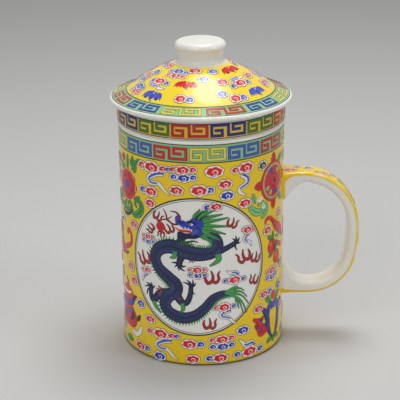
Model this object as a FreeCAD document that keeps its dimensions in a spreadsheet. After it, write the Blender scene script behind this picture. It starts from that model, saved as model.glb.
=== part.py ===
# Lidded porcelain tea mug with a drop-in infuser, in millimetres.
# The origin is on the mug's axis, in the plane of its foot ring. +Z is up and the handle points to +X.

import FreeCAD, Part
import math
import os
import re
import Sketcher

doc = FreeCAD.newDocument("lidded_tea_mug")

# Driving dimensions: alias, value, meaning
DIMENSIONS = [
    ("mug_radius", 41.0, "outside of the mug's wall"),
    ("mug_height", 116.4, "foot ring to lip"),
    ("mug_wall", 3.6, "wall of the mug"),
    ("floor_thickness", 4.2, "mug floor"),
    ("floor_corner", 6.0, "round between the floor and the inside wall"),
    ("base_round", 2.2, "outside bottom edge of the mug"),
    ("foot_width", 3.6, "unglazed ring that the mug stands on"),
    ("foot_recess", 1.8, "hollow inside the foot ring"),
    ("foot_draft", 0.6, "slope of the foot ring's inside"),
    ("handle_top", 88.8, "highest point of the handle"),
    ("handle_bottom", 23.8, "lowest point of the handle"),
    ("handle_projection", 38.2, "mug's wall to the handle's far side"),
    ("handle_widest_height", 56.5, "height of the handle's far side"),
    ("handle_width", 12.5, "handle strap, across"),
    ("handle_thickness", 5.7, "handle strap, through"),
    ("handle_outer_round", 1.3, "edges of the strap's outer face"),
    ("handle_inner_round", 2.4, "edges of the strap's inner face"),
    ("upper_bend_radius", 28.0, "upper bend, on the outer face"),
    ("lower_bend_radius", 24.0, "lower bend, on the outer face"),
    ("side_bend_radius", 60.0, "far side of the loop, on the outer face"),
    ("upper_root_depth", 9.0, "gusset under the upper root"),
    ("lower_root_depth", 10.0, "gusset over the lower root"),
    ("root_length", 5.0, "how far the gussets reach along the strap"),
    ("root_spread", 2.6, "flare of each side of the strap at the wall"),
    ("root_spread_length", 2.8, "how far the side flare reaches"),
    ("seat_gap", 0.3, "collar to mug lip"),
    ("collar_overhang", 0.4, "collar's outside past the mug's wall"),
    ("collar_height", 9.3, "infuser's collar"),
    ("collar_wall", 4.6, "collar"),
    ("collar_bottom_round", 0.8, "collar's lower outside edge"),
    ("collar_rim_round", 1.4, "collar's upper edges"),
    ("basket_gap", 2.2, "basket to the mug's inside wall"),
    ("basket_wall", 3.0, "basket's wall"),
    ("basket_depth", 56.7, "basket below the mug's lip"),
    ("basket_base", 3.0, "perforated base"),
    ("basket_corner", 5.0, "basket's lower outside edge"),
    ("basket_inner_corner", 3.0, "basket's inside corner"),
    ("seat_fillet", 1.5, "under the collar, where the basket starts"),
    ("collar_ledge_drop", 1.2, "collar's inside ledge, below the lip"),
    ("drain_hole_radius", 1.3, "holes in the base"),
    ("drain_hole_pitch", 7.0, "from one ring of holes to the next"),
    ("drain_ring_count", 3.0, "rings of holes round the middle one"),
    ("first_ring_holes", 6.0, "holes in the innermost ring"),
    ("lid_gap", 0.2, "brim to the collar's rim"),
    ("brim_overhang", 3.6, "lid's outside past the collar"),
    ("brim_lower_round", 1.4, "brim's lower edge"),
    ("brim_upper_round", 1.2, "brim's upper edge"),
    ("brim_rise", 2.9, "brim's slope, from its edge to the dome"),
    ("brim_width", 8.7, "brim, from its edge to the dome"),
    ("dome_rise", 13.2, "dome, from the crease to the knob's seat"),
    ("dome_radius", 93.0, "bulge of the dome"),
    ("lid_wall", 3.2, "wall of the lid"),
    ("flange_gap", 0.9, "locating flange to the collar"),
    ("flange_thickness", 2.9, "locating flange"),
    ("flange_depth", 5.2, "locating flange below the brim"),
    ("flange_round", 1.0, "flange's lower edges"),
    ("knob_foot_radius", 12.4, "knob where it stands on the dome"),
    ("knob_neck_radius", 11.0, "narrowest part of the knob"),
    ("knob_neck_height", 2.2, "foot of the knob to its neck"),
    ("knob_foot_flare", 2.6, "sweep of the knob's foot"),
    ("knob_radius", 12.7, "widest part of the knob"),
    ("knob_wide_height", 7.5, "foot of the knob to its widest part"),
    ("knob_hollow_radius", 11.0, "sweep from the neck to the widest part"),
    ("knob_shoulder", 3.0, "round of the knob's top edge"),
    ("knob_crown", 0.4, "crown of the knob's top"),
]

sheet = doc.addObject("Spreadsheet::Sheet", "Dimensions")
for row, (alias, size, meaning) in enumerate(DIMENSIONS, start=1):
    sheet.set("A%d" % row, alias)
    sheet.set("B%d" % row, str(size))
    sheet.set("C%d" % row, meaning)
    sheet.setAlias("B%d" % row, alias)
doc.recompute()

ALIASES = [alias for alias, size, meaning in DIMENSIONS]
formulas = doc.addObject("App::FeaturePython", "Formulas")


def linked(formula):
    """The formula with every alias pointing at the sheet."""
    return re.sub(
        r"[a-z_]+",
        lambda word: "Dimensions." + word.group(0) if word.group(0) in ALIASES else word.group(0),
        formula,
    )


def value(formula):
    """What a formula of aliases comes to now."""
    return float(formulas.evalExpression(linked(formula)))


# Heights and radii that several pieces share
COLLAR_BOTTOM = "mug_height + seat_gap"
COLLAR_TOP = "mug_height + seat_gap + collar_height"
MUG_BORE = "mug_radius - mug_wall"
BASKET_RADIUS = "mug_radius - mug_wall - basket_gap"
BASKET_BORE = "mug_radius - mug_wall - basket_gap - basket_wall"
BASKET_BOTTOM = "mug_height - basket_depth"
COLLAR_RADIUS = "mug_radius + collar_overhang"
COLLAR_BORE = COLLAR_RADIUS + " - collar_wall"
BRIM_BOTTOM = "mug_height + seat_gap + collar_height + lid_gap"
BRIM_RADIUS = COLLAR_RADIUS + " + brim_overhang"
CREASE_RADIUS = BRIM_RADIUS + " - brim_width"
CREASE_HEIGHT = BRIM_BOTTOM + " + brim_lower_round + brim_upper_round + brim_rise"
KNOB_SEAT = CREASE_HEIGHT + " + dome_rise"
FLANGE_RADIUS = COLLAR_BORE + " - flange_gap"
FLANGE_BORE = FLANGE_RADIUS + " - flange_thickness"


def origin_plane(body, role):
    for feature in body.Origin.OriginFeatures:
        if feature.Role == role:
            return feature


def attached_sketch(body, name, role):
    sketch = body.newObject("Sketcher::SketchObject", name)
    sketch.AttachmentSupport = (origin_plane(body, role), [""])
    sketch.MapMode = "FlatFace"
    return sketch


def bind(sketch, constraint, formula):
    """Add a sized constraint and tie it to the sheet."""
    index = sketch.addConstraint(constraint)
    sketch.setExpression("Constraints[%d]" % index, linked(formula))


def arc_through(start, end, radius, bulge):
    """Short arc from start to end; bulge is 'left' or 'right' of the way from start to end."""
    middle = (start + end) * 0.5
    chord = end - start
    half = chord.Length / 2
    side = FreeCAD.Vector(-chord.y, chord.x, 0).normalize()
    if bulge == "right":
        side = side * -1
    centre = middle - side * math.sqrt(max(radius ** 2 - half ** 2, 0))
    crown = centre + side * radius
    return Part.ArcOfCircle(start, crown, end), centre


def profile_sketch(body, name, corners):
    """Closed profile in the XZ plane. Each corner is (radius formula, height formula, edge to the next).

    An edge is None for a line, or (bend radius formula, side it bulges to) for an arc.
    """
    sketch = attached_sketch(body, name, "XZ_Plane")
    points = [FreeCAD.Vector(value(across), value(up), 0) for across, up, edge in corners]
    ends = []
    for number, (across, up, edge) in enumerate(corners):
        start = points[number]
        end = points[(number + 1) % len(points)]
        if edge is None:
            index = sketch.addGeometry(Part.LineSegment(start, end), False)
            ends.append((index, 1, 2))
            continue
        arc, centre = arc_through(start, end, value(edge[0]), edge[1])
        index = sketch.addGeometry(arc, False)
        drawn_forward = sketch.getPoint(index, 1).distanceToPoint(start) < 1e-6
        ends.append((index, 1, 2) if drawn_forward else (index, 2, 1))
    for number, (index, first, last) in enumerate(ends):
        following = ends[(number + 1) % len(ends)]
        sketch.addConstraint(Sketcher.Constraint("Coincident", index, last, following[0], following[1]))
    for number, (across, up, edge) in enumerate(corners):
        index, first, last = ends[number]
        if across == "0":
            sketch.addConstraint(Sketcher.Constraint("PointOnObject", index, first, -2))
        else:
            bind(sketch, Sketcher.Constraint("DistanceX", -1, 1, index, first, value(across)), across)
        if up == "0":
            sketch.addConstraint(Sketcher.Constraint("PointOnObject", index, first, -1))
        else:
            bind(sketch, Sketcher.Constraint("DistanceY", -1, 1, index, first, value(up)), up)
        if edge is not None:
            bind(sketch, Sketcher.Constraint("Radius", index, value(edge[0])), edge[0])
    return sketch


def turned_body(label, corners):
    """A body turned about the mug's axis from one profile."""
    body = doc.addObject("PartDesign::Body", label)
    body.Label = label
    sketch = profile_sketch(body, label + "_profile", corners)
    revolution = body.newObject("PartDesign::Revolution", label + "_turned")
    revolution.Profile = sketch
    revolution.ReferenceAxis = (sketch, ["V_Axis"])
    revolution.Angle = 360
    return body


# Mug body: a straight-walled cup on a foot ring, with a full-round lip
mug_body = turned_body("mug_body", [
    ("0", "foot_recess", None),
    ("mug_radius - base_round - foot_width - foot_draft", "foot_recess", None),
    ("mug_radius - base_round - foot_width", "0", None),
    ("mug_radius - base_round", "0", ("base_round", "right")),
    ("mug_radius", "base_round", None),
    ("mug_radius", "mug_height - mug_wall / 2", ("mug_wall / 2", "right")),
    ("mug_radius - mug_wall / 2", "mug_height", ("mug_wall / 2", "right")),
    (MUG_BORE, "mug_height - mug_wall / 2", None),
    (MUG_BORE, "foot_recess + floor_thickness + floor_corner", ("floor_corner", "right")),
    (MUG_BORE + " - floor_corner", "foot_recess + floor_thickness", None),
    ("0", "foot_recess + floor_thickness", None),
])

# Infuser: a collar that stands on the mug's lip, and a basket that hangs from it
infuser_basket = turned_body("infuser_basket", [
    ("0", BASKET_BOTTOM, None),
    (BASKET_RADIUS + " - basket_corner", BASKET_BOTTOM, ("basket_corner", "right")),
    (BASKET_RADIUS, BASKET_BOTTOM + " + basket_corner", None),
    (BASKET_RADIUS, COLLAR_BOTTOM + " - seat_fillet", ("seat_fillet", "left")),
    (BASKET_RADIUS + " + seat_fillet", COLLAR_BOTTOM, None),
    (COLLAR_RADIUS + " - collar_bottom_round", COLLAR_BOTTOM, ("collar_bottom_round", "right")),
    (COLLAR_RADIUS, COLLAR_BOTTOM + " + collar_bottom_round", None),
    (COLLAR_RADIUS, COLLAR_TOP + " - collar_rim_round", ("collar_rim_round", "right")),
    (COLLAR_RADIUS + " - collar_rim_round", COLLAR_TOP, None),
    (COLLAR_BORE + " + collar_rim_round", COLLAR_TOP, ("collar_rim_round", "right")),
    (COLLAR_BORE, COLLAR_TOP + " - collar_rim_round", None),
    (COLLAR_BORE, "mug_height - collar_ledge_drop + " + COLLAR_BORE + " - (" + BASKET_BORE + ")", None),
    (BASKET_BORE, "mug_height - collar_ledge_drop", None),
    (BASKET_BORE, BASKET_BOTTOM + " + basket_base + basket_inner_corner", ("basket_inner_corner", "right")),
    (BASKET_BORE + " - basket_inner_corner", BASKET_BOTTOM + " + basket_base", None),
    ("0", BASKET_BOTTOM + " + basket_base", None),
])


def drain_cut(name, across):
    """One drain hole through the basket's base, at a distance along X from the axis."""
    sketch = attached_sketch(infuser_basket, name + "_outline", "XY_Plane")
    sketch.AttachmentOffset = FreeCAD.Placement(FreeCAD.Vector(0, 0, 0), FreeCAD.Rotation())
    sketch.setExpression("AttachmentOffset.Base.z", linked(BASKET_BOTTOM + " + basket_base"))
    centre = FreeCAD.Vector(value(across), 0, 0)
    up = FreeCAD.Vector(0, 0, 1)
    index = sketch.addGeometry(Part.Circle(centre, up, value("drain_hole_radius")), False)
    bind(sketch, Sketcher.Constraint("Radius", index, value("drain_hole_radius")), "drain_hole_radius")
    sketch.addConstraint(Sketcher.Constraint("PointOnObject", index, 3, -1))
    if across == "0":
        sketch.addConstraint(Sketcher.Constraint("PointOnObject", index, 3, -2))
    else:
        bind(sketch, Sketcher.Constraint("DistanceX", -1, 1, index, 3, value(across)), across)
    pocket = infuser_basket.newObject("PartDesign::Pocket", name)
    pocket.Profile = sketch
    pocket.setExpression("Length", linked("basket_base * 2"))
    return pocket


drain_cut("middle_drain", "0")
for ring in range(1, int(round(value("drain_ring_count"))) + 1):
    hole = drain_cut("drain_ring_%d" % ring, "drain_hole_pitch * %d" % ring)
    holes = infuser_basket.newObject("PartDesign::PolarPattern", "drain_ring_%d_pattern" % ring)
    holes.Originals = [hole]
    holes.Axis = (origin_plane(infuser_basket, "Z_Axis"), [""])
    holes.Angle = 360
    holes.setExpression("Occurrences", linked("first_ring_holes * %d" % ring))
    infuser_basket.Tip = holes

# Lid: brim on the collar's rim, flange inside the collar, dome with a flat seat for the knob
BRIM_TOP = BRIM_BOTTOM + " + brim_lower_round + brim_upper_round"
lid_cover = turned_body("lid_cover", [
    (FLANGE_RADIUS, BRIM_BOTTOM, None),
    (BRIM_RADIUS + " - brim_lower_round", BRIM_BOTTOM, ("brim_lower_round", "right")),
    (BRIM_RADIUS, BRIM_BOTTOM + " + brim_lower_round", ("brim_upper_round", "right")),
    (BRIM_RADIUS + " - brim_upper_round", BRIM_TOP, None),
    (CREASE_RADIUS, CREASE_HEIGHT, ("dome_radius", "right")),
    ("knob_foot_radius", KNOB_SEAT, None),
    ("0", KNOB_SEAT, None),
    ("0", KNOB_SEAT + " - lid_wall", None),
    ("knob_foot_radius - lid_wall / 2", KNOB_SEAT + " - lid_wall", ("dome_radius - lid_wall", "left")),
    (FLANGE_BORE, CREASE_HEIGHT + " - lid_wall / 2", None),
    (FLANGE_BORE, BRIM_BOTTOM + " - flange_depth + flange_round", ("flange_round", "right")),
    (FLANGE_BORE + " + flange_round", BRIM_BOTTOM + " - flange_depth", None),
    (FLANGE_RADIUS + " - flange_round", BRIM_BOTTOM + " - flange_depth", ("flange_round", "right")),
    (FLANGE_RADIUS, BRIM_BOTTOM + " - flange_depth + flange_round", None),
])

# Knob: a button on a swept foot, stuck to the top of the dome
KNOB_TOP = KNOB_SEAT + " + knob_wide_height + knob_shoulder + knob_crown"
lid_knob = turned_body("lid_knob", [
    ("0", KNOB_SEAT, None),
    ("knob_foot_radius", KNOB_SEAT, ("knob_foot_flare", "left")),
    ("knob_neck_radius", KNOB_SEAT + " + knob_neck_height", ("knob_hollow_radius", "left")),
    ("knob_radius", KNOB_SEAT + " + knob_wide_height", ("knob_shoulder", "right")),
    ("knob_radius - knob_shoulder", KNOB_SEAT + " + knob_wide_height + knob_shoulder", None),
    ("0", KNOB_TOP, None),
])

# Handle: a flat strap bent to a loop, with gussets where it is luted to the wall.
# Its sections grow smoothly towards the wall, so the blank is a loft through sections worked out here.
SECTION_STEP = math.radians(12)
ROOT_STEPS = 9
GUSSET_POWER = 1.5
ROOT_SOFTENING = 0.9

strap_width = value("handle_width")
strap_thickness = value("handle_thickness")
upper_radius = value("upper_bend_radius")
lower_radius = value("lower_bend_radius")
side_radius = value("side_bend_radius")
side_centre = FreeCAD.Vector(
    value("mug_radius + handle_projection") - side_radius, 0, value("handle_widest_height"))


def bend_centre(height, radius):
    """Centre of a bend that touches the side arc from inside."""
    rise = height - side_centre.z
    across = math.sqrt((side_radius - radius) ** 2 - rise ** 2)
    return FreeCAD.Vector(side_centre.x + across, 0, height)


upper_centre = bend_centre(value("handle_top") - upper_radius, upper_radius)
lower_centre = bend_centre(value("handle_bottom") + lower_radius, lower_radius)
upper_turn = math.atan2(upper_centre.z - side_centre.z, upper_centre.x - side_centre.x)
lower_turn = math.atan2(lower_centre.z - side_centre.z, lower_centre.x - side_centre.x)


def strap_section(outer_point, outward, gusset, spread):
    """Rounded section whose outer face is centred on outer_point; outward is that face's normal."""
    across = FreeCAD.Vector(0, 1, 0)
    half = strap_width / 2 + spread
    depth = strap_thickness + gusset
    outer = value("handle_outer_round") + spread * ROOT_SOFTENING
    inner = value("handle_inner_round") + spread * ROOT_SOFTENING

    def place(along_y, inwards):
        return outer_point + across * along_y - outward * inwards

    def corner(start, crown, end):
        return Part.Arc(start, crown, end).toShape()

    nip = 1 - math.sqrt(0.5)
    edges = [
        Part.LineSegment(place(-half + outer, 0), place(half - outer, 0)).toShape(),
        corner(place(half - outer, 0), place(half - outer * nip, outer * nip), place(half, outer)),
        Part.LineSegment(place(half, outer), place(half, depth - inner)).toShape(),
        corner(place(half, depth - inner), place(half - inner * nip, depth - inner * nip),
               place(half - inner, depth)),
        Part.LineSegment(place(half - inner, depth), place(-half + inner, depth)).toShape(),
        corner(place(-half + inner, depth), place(-half + inner * nip, depth - inner * nip),
               place(-half, depth - inner)),
        Part.LineSegment(place(-half, depth - inner), place(-half, outer)).toShape(),
        corner(place(-half, outer), place(-half + outer * nip, outer * nip), place(-half + outer, 0)),
    ]
    return Part.Wire(edges)


def fade(distance, reach):
    """1 at the wall, falling smoothly to 0 along the strap."""
    return math.exp(-((max(distance, 0) / reach) ** GUSSET_POWER))


def root_sections(height, outward, bend_start, gusset):
    """Sections of the straight stretch, from inside the wall to the start of the bend."""
    wall = value("mug_radius")
    start = wall - value("mug_wall")
    sections = []
    for step in range(ROOT_STEPS):
        along = start + (bend_start - start) * (step / ROOT_STEPS) ** 1.3
        away = along - wall
        sections.append(strap_section(
            FreeCAD.Vector(along, 0, height),
            outward,
            gusset * fade(away, value("root_length")),
            value("root_spread") * fade(away, value("root_spread_length")),
        ))
    return sections


def bend_sections(centre, radius, first, last):
    """Sections round one bend, from one angle to the other, without the last one."""
    count = max(1, math.ceil(abs(last - first) / SECTION_STEP))
    sections = []
    for step in range(count):
        angle = first + (last - first) * step / count
        outward = FreeCAD.Vector(math.cos(angle), 0, math.sin(angle))
        sections.append(strap_section(centre + outward * radius, outward, 0, 0))
    return sections


up = FreeCAD.Vector(0, 0, 1)
down = FreeCAD.Vector(0, 0, -1)
handle_sections = root_sections(value("handle_top"), up, upper_centre.x, value("upper_root_depth"))
handle_sections += bend_sections(upper_centre, upper_radius, math.pi / 2, upper_turn)
handle_sections += bend_sections(side_centre, side_radius, upper_turn, lower_turn)
handle_sections += bend_sections(lower_centre, lower_radius, lower_turn, -math.pi / 2)
handle_sections += reversed(
    root_sections(value("handle_bottom"), down, lower_centre.x, value("lower_root_depth")))

handle_blank = doc.addObject("Part::Feature", "handle_blank")
handle_blank.Shape = Part.makeLoft(handle_sections, True, False)

wall_space = doc.addObject("Part::Cylinder", "wall_space")
wall_space.setExpression("Radius", linked("mug_radius"))
wall_space.setExpression("Height", linked("mug_height"))

mug_handle = doc.addObject("Part::Cut", "mug_handle")
mug_handle.Label = "mug_handle"
mug_handle.Base = handle_blank
mug_handle.Tool = wall_space

doc.recompute()

for thing in doc.Objects:
    if "Invalid" in thing.State or "Error" in thing.State:
        raise RuntimeError("%s did not compute" % thing.Name)

os.makedirs("parts", exist_ok=True)
for piece in (mug_body, mug_handle, infuser_basket, lid_cover, lid_knob):
    shape = piece.Shape
    if shape.isNull() or not shape.isValid() or len(shape.Solids) != 1:
        raise RuntimeError("%s is not one valid solid" % piece.Label)
    shape.exportStep("parts/" + piece.Label + ".step")
    box = shape.BoundBox
    print("%-16s %9.0f mm3  z %.2f to %.2f" % (piece.Label, shape.Volume, box.ZMin, box.ZMax))
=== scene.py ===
import math

import bmesh
import bpy
from mathutils import Matrix, Vector


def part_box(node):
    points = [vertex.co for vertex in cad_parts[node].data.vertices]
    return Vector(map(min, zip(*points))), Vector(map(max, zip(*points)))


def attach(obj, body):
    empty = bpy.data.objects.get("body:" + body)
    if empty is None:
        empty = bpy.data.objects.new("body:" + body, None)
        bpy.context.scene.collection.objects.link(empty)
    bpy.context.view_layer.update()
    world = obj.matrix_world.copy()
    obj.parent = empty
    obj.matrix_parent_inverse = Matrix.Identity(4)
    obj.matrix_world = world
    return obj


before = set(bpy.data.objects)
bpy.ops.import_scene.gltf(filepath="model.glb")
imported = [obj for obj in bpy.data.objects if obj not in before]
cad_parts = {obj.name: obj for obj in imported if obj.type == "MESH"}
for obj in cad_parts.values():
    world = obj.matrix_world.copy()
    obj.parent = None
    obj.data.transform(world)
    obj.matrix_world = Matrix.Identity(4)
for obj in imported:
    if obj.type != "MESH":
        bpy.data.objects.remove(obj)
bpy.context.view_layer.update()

mm = 0.001


# Sizes read from the frame, in millimetres

def boxInMm(node):
    low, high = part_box(node)
    return low / mm, high / mm


mugHigh = boxInMm("mug_body")[1]
collarHigh = boxInMm("infuser_basket")[1]
lidLow, lidHigh = boxInMm("lid_cover")
knobHigh = boxInMm("lid_knob")[1]
handleLow, handleHigh = boxInMm("mug_handle")

mug = {
    "radius": mugHigh.x,
    "lipRound": 1.8,        # half of the wall, where the white rim starts
    "bandTop": mugHigh.z - 1.95,
    "bandBottom": mugHigh.z - 10.75,
    "footLine": 0.45,       # bare porcelain below this
}
collar = {
    "radius": collarHigh.x,
    "bandTop": collarHigh.z - 1.3,
    "bandBottom": collarHigh.z - 8.5,
    "paintDepth": 0.9,      # the band's yellow ends this far inside the outer face
}
lid = {
    "lineRadius": lidHigh.x - 1.2,      # top of the brim's round edge
    "lineHeight": lidLow.z + 7.8,
    "creaseRadius": lidHigh.x - 8.7,
    "creaseHeight": lidLow.z + 10.7,
    "seatRadius": knobHigh.x - 0.3,
    "seatHeight": lidHigh.z,
    "domeBulge": 93.0,                  # radius of the dome's arc
    "knobMargin": 0.9,                  # white left round the knob's seat
    "paintDepth": 1.2,                  # the colour reaches this far under the upper face
}
print("frame read: mug", [round(v, 1) for v in mugHigh], "lid", [round(v, 1) for v in lidHigh])


# Colours, as they look in daylight (0 to 255)

palette = {
    "porcelain": (236, 234, 226),
    "biscuit": (214, 204, 186),
    "yellow": (244, 207, 14),
    "lidYellow": (248, 217, 46),
    "gold": (226, 186, 44),
    "jade": (140, 196, 140),
    "ink": (34, 40, 34),
    "greyInk": (50, 58, 50),
    "white": (240, 238, 232),
    "red": (222, 16, 34),
    "crimson": (170, 10, 28),
    "blush": (244, 170, 170),
    "rust": (124, 26, 24),
    "blue": (36, 58, 180),
    "sky": (70, 88, 202),
    "navy": (12, 19, 66),
    "royal": (26, 38, 140),
    "grass": (54, 120, 48),
    "ruby": (200, 10, 44),
    "steel": (62, 84, 140),
    "leaf": (62, 160, 72),
    "moss": (36, 82, 44),
    "mint": (132, 198, 132),
    "straw": (240, 212, 70),
    "orange": (232, 132, 40),
}


def linear(name):
    def channel(value):
        value /= 255
        return value / 12.92 if value <= 0.04045 else ((value + 0.055) / 1.055) ** 2.4
    return tuple(channel(value) for value in palette[name]) + (1.0,)


# Node groups that several finishes share

def newGroup(name, inputs, outputs):
    group = bpy.data.node_groups.new(name, "ShaderNodeTree")
    for label, kind, start in inputs:
        socket = group.interface.new_socket(label, in_out="INPUT", socket_type=kind)
        if start is not None:
            socket.default_value = start
    for label, kind in outputs:
        group.interface.new_socket(label, in_out="OUTPUT", socket_type=kind)
    return group, group.nodes.new("NodeGroupInput"), group.nodes.new("NodeGroupOutput")


def mathNode(tree, operation, first, second=None, third=None):
    node = tree.nodes.new("ShaderNodeMath")
    node.operation = operation
    for socket, value in zip(node.inputs, (first, second, third)):
        if value is None:
            continue
        if isinstance(value, (int, float)):
            socket.default_value = value
        else:
            tree.links.new(value, socket)
    return node.outputs[0]


def mixColour(tree, factor, first, second, blend="MIX"):
    node = tree.nodes.new("ShaderNodeMix")
    node.data_type = "RGBA"
    node.blend_type = blend
    for socket, value in ((node.inputs[0], factor), (node.inputs[6], first), (node.inputs[7], second)):
        if isinstance(value, (int, float, tuple)):
            socket.default_value = value
        else:
            tree.links.new(value, socket)
    return node.outputs[2]


def noise(tree, vector, scale, detail=3.0, roughness=0.5):
    node = tree.nodes.new("ShaderNodeTexNoise")
    node.inputs["Scale"].default_value = scale
    node.inputs["Detail"].default_value = detail
    node.inputs["Roughness"].default_value = roughness
    tree.links.new(vector, node.inputs["Vector"])
    return node.outputs[0]


# Colour pooling, pinholes and the faint waviness of a fired glaze.
def buildGlazeGroup():
    group, put, out = newGroup(
        "glazeSkin",
        [("Vector", "NodeSocketVector", None), ("Color", "NodeSocketColor", (1, 1, 1, 1)),
         ("Pooling", "NodeSocketFloat", 0.06), ("Gloss", "NodeSocketFloat", 0.1)],
        [("Color", "NodeSocketColor"), ("Roughness", "NodeSocketFloat"), ("Height", "NodeSocketFloat")],
    )
    broad = noise(group, put.outputs["Vector"], 60.0, 2.0)
    fine = noise(group, put.outputs["Vector"], 900.0, 3.0, 0.6)
    drift = mathNode(group, "SUBTRACT", broad, 0.5)
    shade = mathNode(group, "MULTIPLY_ADD", drift, put.outputs["Pooling"], 1.0)
    speck = mathNode(group, "MULTIPLY_ADD", mathNode(group, "SUBTRACT", fine, 0.5),
                     mathNode(group, "MULTIPLY", put.outputs["Pooling"], 0.9), shade)
    toned = mixColour(group, 1.0, put.outputs["Color"], speck, "MULTIPLY")
    group.links.new(toned, out.inputs["Color"])
    rough = mathNode(group, "MULTIPLY_ADD", drift, 0.08, put.outputs["Gloss"])
    group.links.new(rough, out.inputs["Roughness"])
    wave = mathNode(group, "MULTIPLY_ADD", fine, 0.12, noise(group, put.outputs["Vector"], 160.0, 1.0))
    group.links.new(wave, out.inputs["Height"])
    return group


# Where a point lies on a piece turned about Z: distance round, distance from the axis, and height.
def buildTurnedGroup():
    group, put, out = newGroup(
        "turnedPlace",
        [("Vector", "NodeSocketVector", None), ("Radius", "NodeSocketFloat", 0.041)],
        [("Round", "NodeSocketFloat"), ("Out", "NodeSocketFloat"), ("Up", "NodeSocketFloat")],
    )
    split = group.nodes.new("ShaderNodeSeparateXYZ")
    group.links.new(put.outputs["Vector"], split.inputs[0])
    back = mathNode(group, "MULTIPLY", split.outputs["Y"], -1.0)
    angle = mathNode(group, "ARCTAN2", split.outputs["X"], back)
    group.links.new(mathNode(group, "MULTIPLY", angle, put.outputs["Radius"]), out.inputs["Round"])
    square = mathNode(group, "MULTIPLY", split.outputs["X"], split.outputs["X"])
    square = mathNode(group, "MULTIPLY_ADD", split.outputs["Y"], split.outputs["Y"], square)
    group.links.new(mathNode(group, "SQRT", square), out.inputs["Out"])
    group.links.new(split.outputs["Z"], out.inputs["Up"])
    return group


glazeGroup = buildGlazeGroup()
turnedGroup = buildTurnedGroup()


def placeGroup(tree, group, values=None, links=None):
    node = tree.nodes.new("ShaderNodeGroup")
    node.node_tree = group
    for label, value in (values or {}).items():
        node.inputs[label].default_value = value
    for label, source in (links or {}).items():
        tree.links.new(source, node.inputs[label])
    return node


def startMaterial(name):
    material = bpy.data.materials.new(name)
    material.use_nodes = True
    tree = material.node_tree
    shader = tree.nodes["Principled BSDF"]
    shader.inputs["IOR"].default_value = 1.5
    place = tree.nodes.new("ShaderNodeTexCoord").outputs["Object"]
    return material, tree, shader, place


# Sends a colour through the glaze skin to the shader.
def finishGlaze(tree, shader, place, colour, pooling=0.06, gloss=0.1, relief=0.02):
    skin = placeGroup(tree, glazeGroup, {"Pooling": pooling, "Gloss": gloss}, {"Vector": place})
    if isinstance(colour, tuple):
        skin.inputs["Color"].default_value = colour
    else:
        tree.links.new(colour, skin.inputs["Color"])
    tree.links.new(skin.outputs["Color"], shader.inputs["Base Color"])
    tree.links.new(skin.outputs["Roughness"], shader.inputs["Roughness"])
    bump = tree.nodes.new("ShaderNodeBump")
    bump.inputs["Strength"].default_value = relief
    bump.inputs["Distance"].default_value = 0.0004
    tree.links.new(skin.outputs["Height"], bump.inputs["Height"])
    tree.links.new(bump.outputs["Normal"], shader.inputs["Normal"])


def above(tree, value, edge):
    return mathNode(tree, "GREATER_THAN", value, edge)


def between(tree, value, low, high):
    return mathNode(tree, "MULTIPLY", above(tree, value, low), mathNode(tree, "LESS_THAN", value, high))


def enamel(colour, pooling=0.10, gloss=0.12):
    material, tree, shader, place = startMaterial(colour + "Enamel")
    finishGlaze(tree, shader, place, linear(colour), pooling, gloss)
    return material


def mugGlaze(medallions):
    material, tree, shader, place = startMaterial("mugGlaze")
    turned = placeGroup(tree, turnedGroup, {"Radius": mug["radius"] * mm}, {"Vector": place})
    around, out, up = (turned.outputs[label] for label in ("Round", "Out", "Up"))
    outside = above(tree, out, (mug["radius"] - mug["lipRound"]) * mm)
    ground = mathNode(tree, "MULTIPLY", outside,
                      between(tree, up, mug["footLine"] * mm, mug["bandBottom"] * mm))
    band = mathNode(tree, "MULTIPLY", outside,
                    between(tree, up, mug["bandBottom"] * mm, mug["bandTop"] * mm))
    colour = mixColour(tree, ground, linear("porcelain"), linear("yellow"))
    colour = mixColour(tree, band, colour, linear("jade"))
    for centreRound, centreUp, radius in medallions:
        wrapped = mathNode(tree, "WRAP", mathNode(tree, "SUBTRACT", around, centreRound * mm),
                           math.pi * mug["radius"] * mm, -math.pi * mug["radius"] * mm)
        rise = mathNode(tree, "SUBTRACT", up, centreUp * mm)
        square = mathNode(tree, "MULTIPLY", wrapped, wrapped)
        square = mathNode(tree, "MULTIPLY_ADD", rise, rise, square)
        disc = mathNode(tree, "LESS_THAN", mathNode(tree, "SQRT", square), radius * mm)
        colour = mixColour(tree, mathNode(tree, "MULTIPLY", ground, disc), colour, linear("white"))
    bare = mathNode(tree, "LESS_THAN", up, mug["footLine"] * mm)
    colour = mixColour(tree, bare, colour, linear("biscuit"))
    finishGlaze(tree, shader, place, colour)
    skinRough = shader.inputs["Roughness"].links[0].from_socket
    tree.links.new(mathNode(tree, "MULTIPLY_ADD", bare, 0.55, skinRough), shader.inputs["Roughness"])
    return material


def infuserGlaze():
    material, tree, shader, place = startMaterial("infuserGlaze")
    turned = placeGroup(tree, turnedGroup, {"Radius": collar["radius"] * mm}, {"Vector": place})
    out, up = turned.outputs["Out"], turned.outputs["Up"]
    outside = above(tree, out, (collar["radius"] - collar["paintDepth"]) * mm)
    band = mathNode(tree, "MULTIPLY", outside,
                    between(tree, up, collar["bandBottom"] * mm, collar["bandTop"] * mm))
    colour = mixColour(tree, band, linear("porcelain"), linear("gold"))
    finishGlaze(tree, shader, place, colour)
    return material


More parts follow.
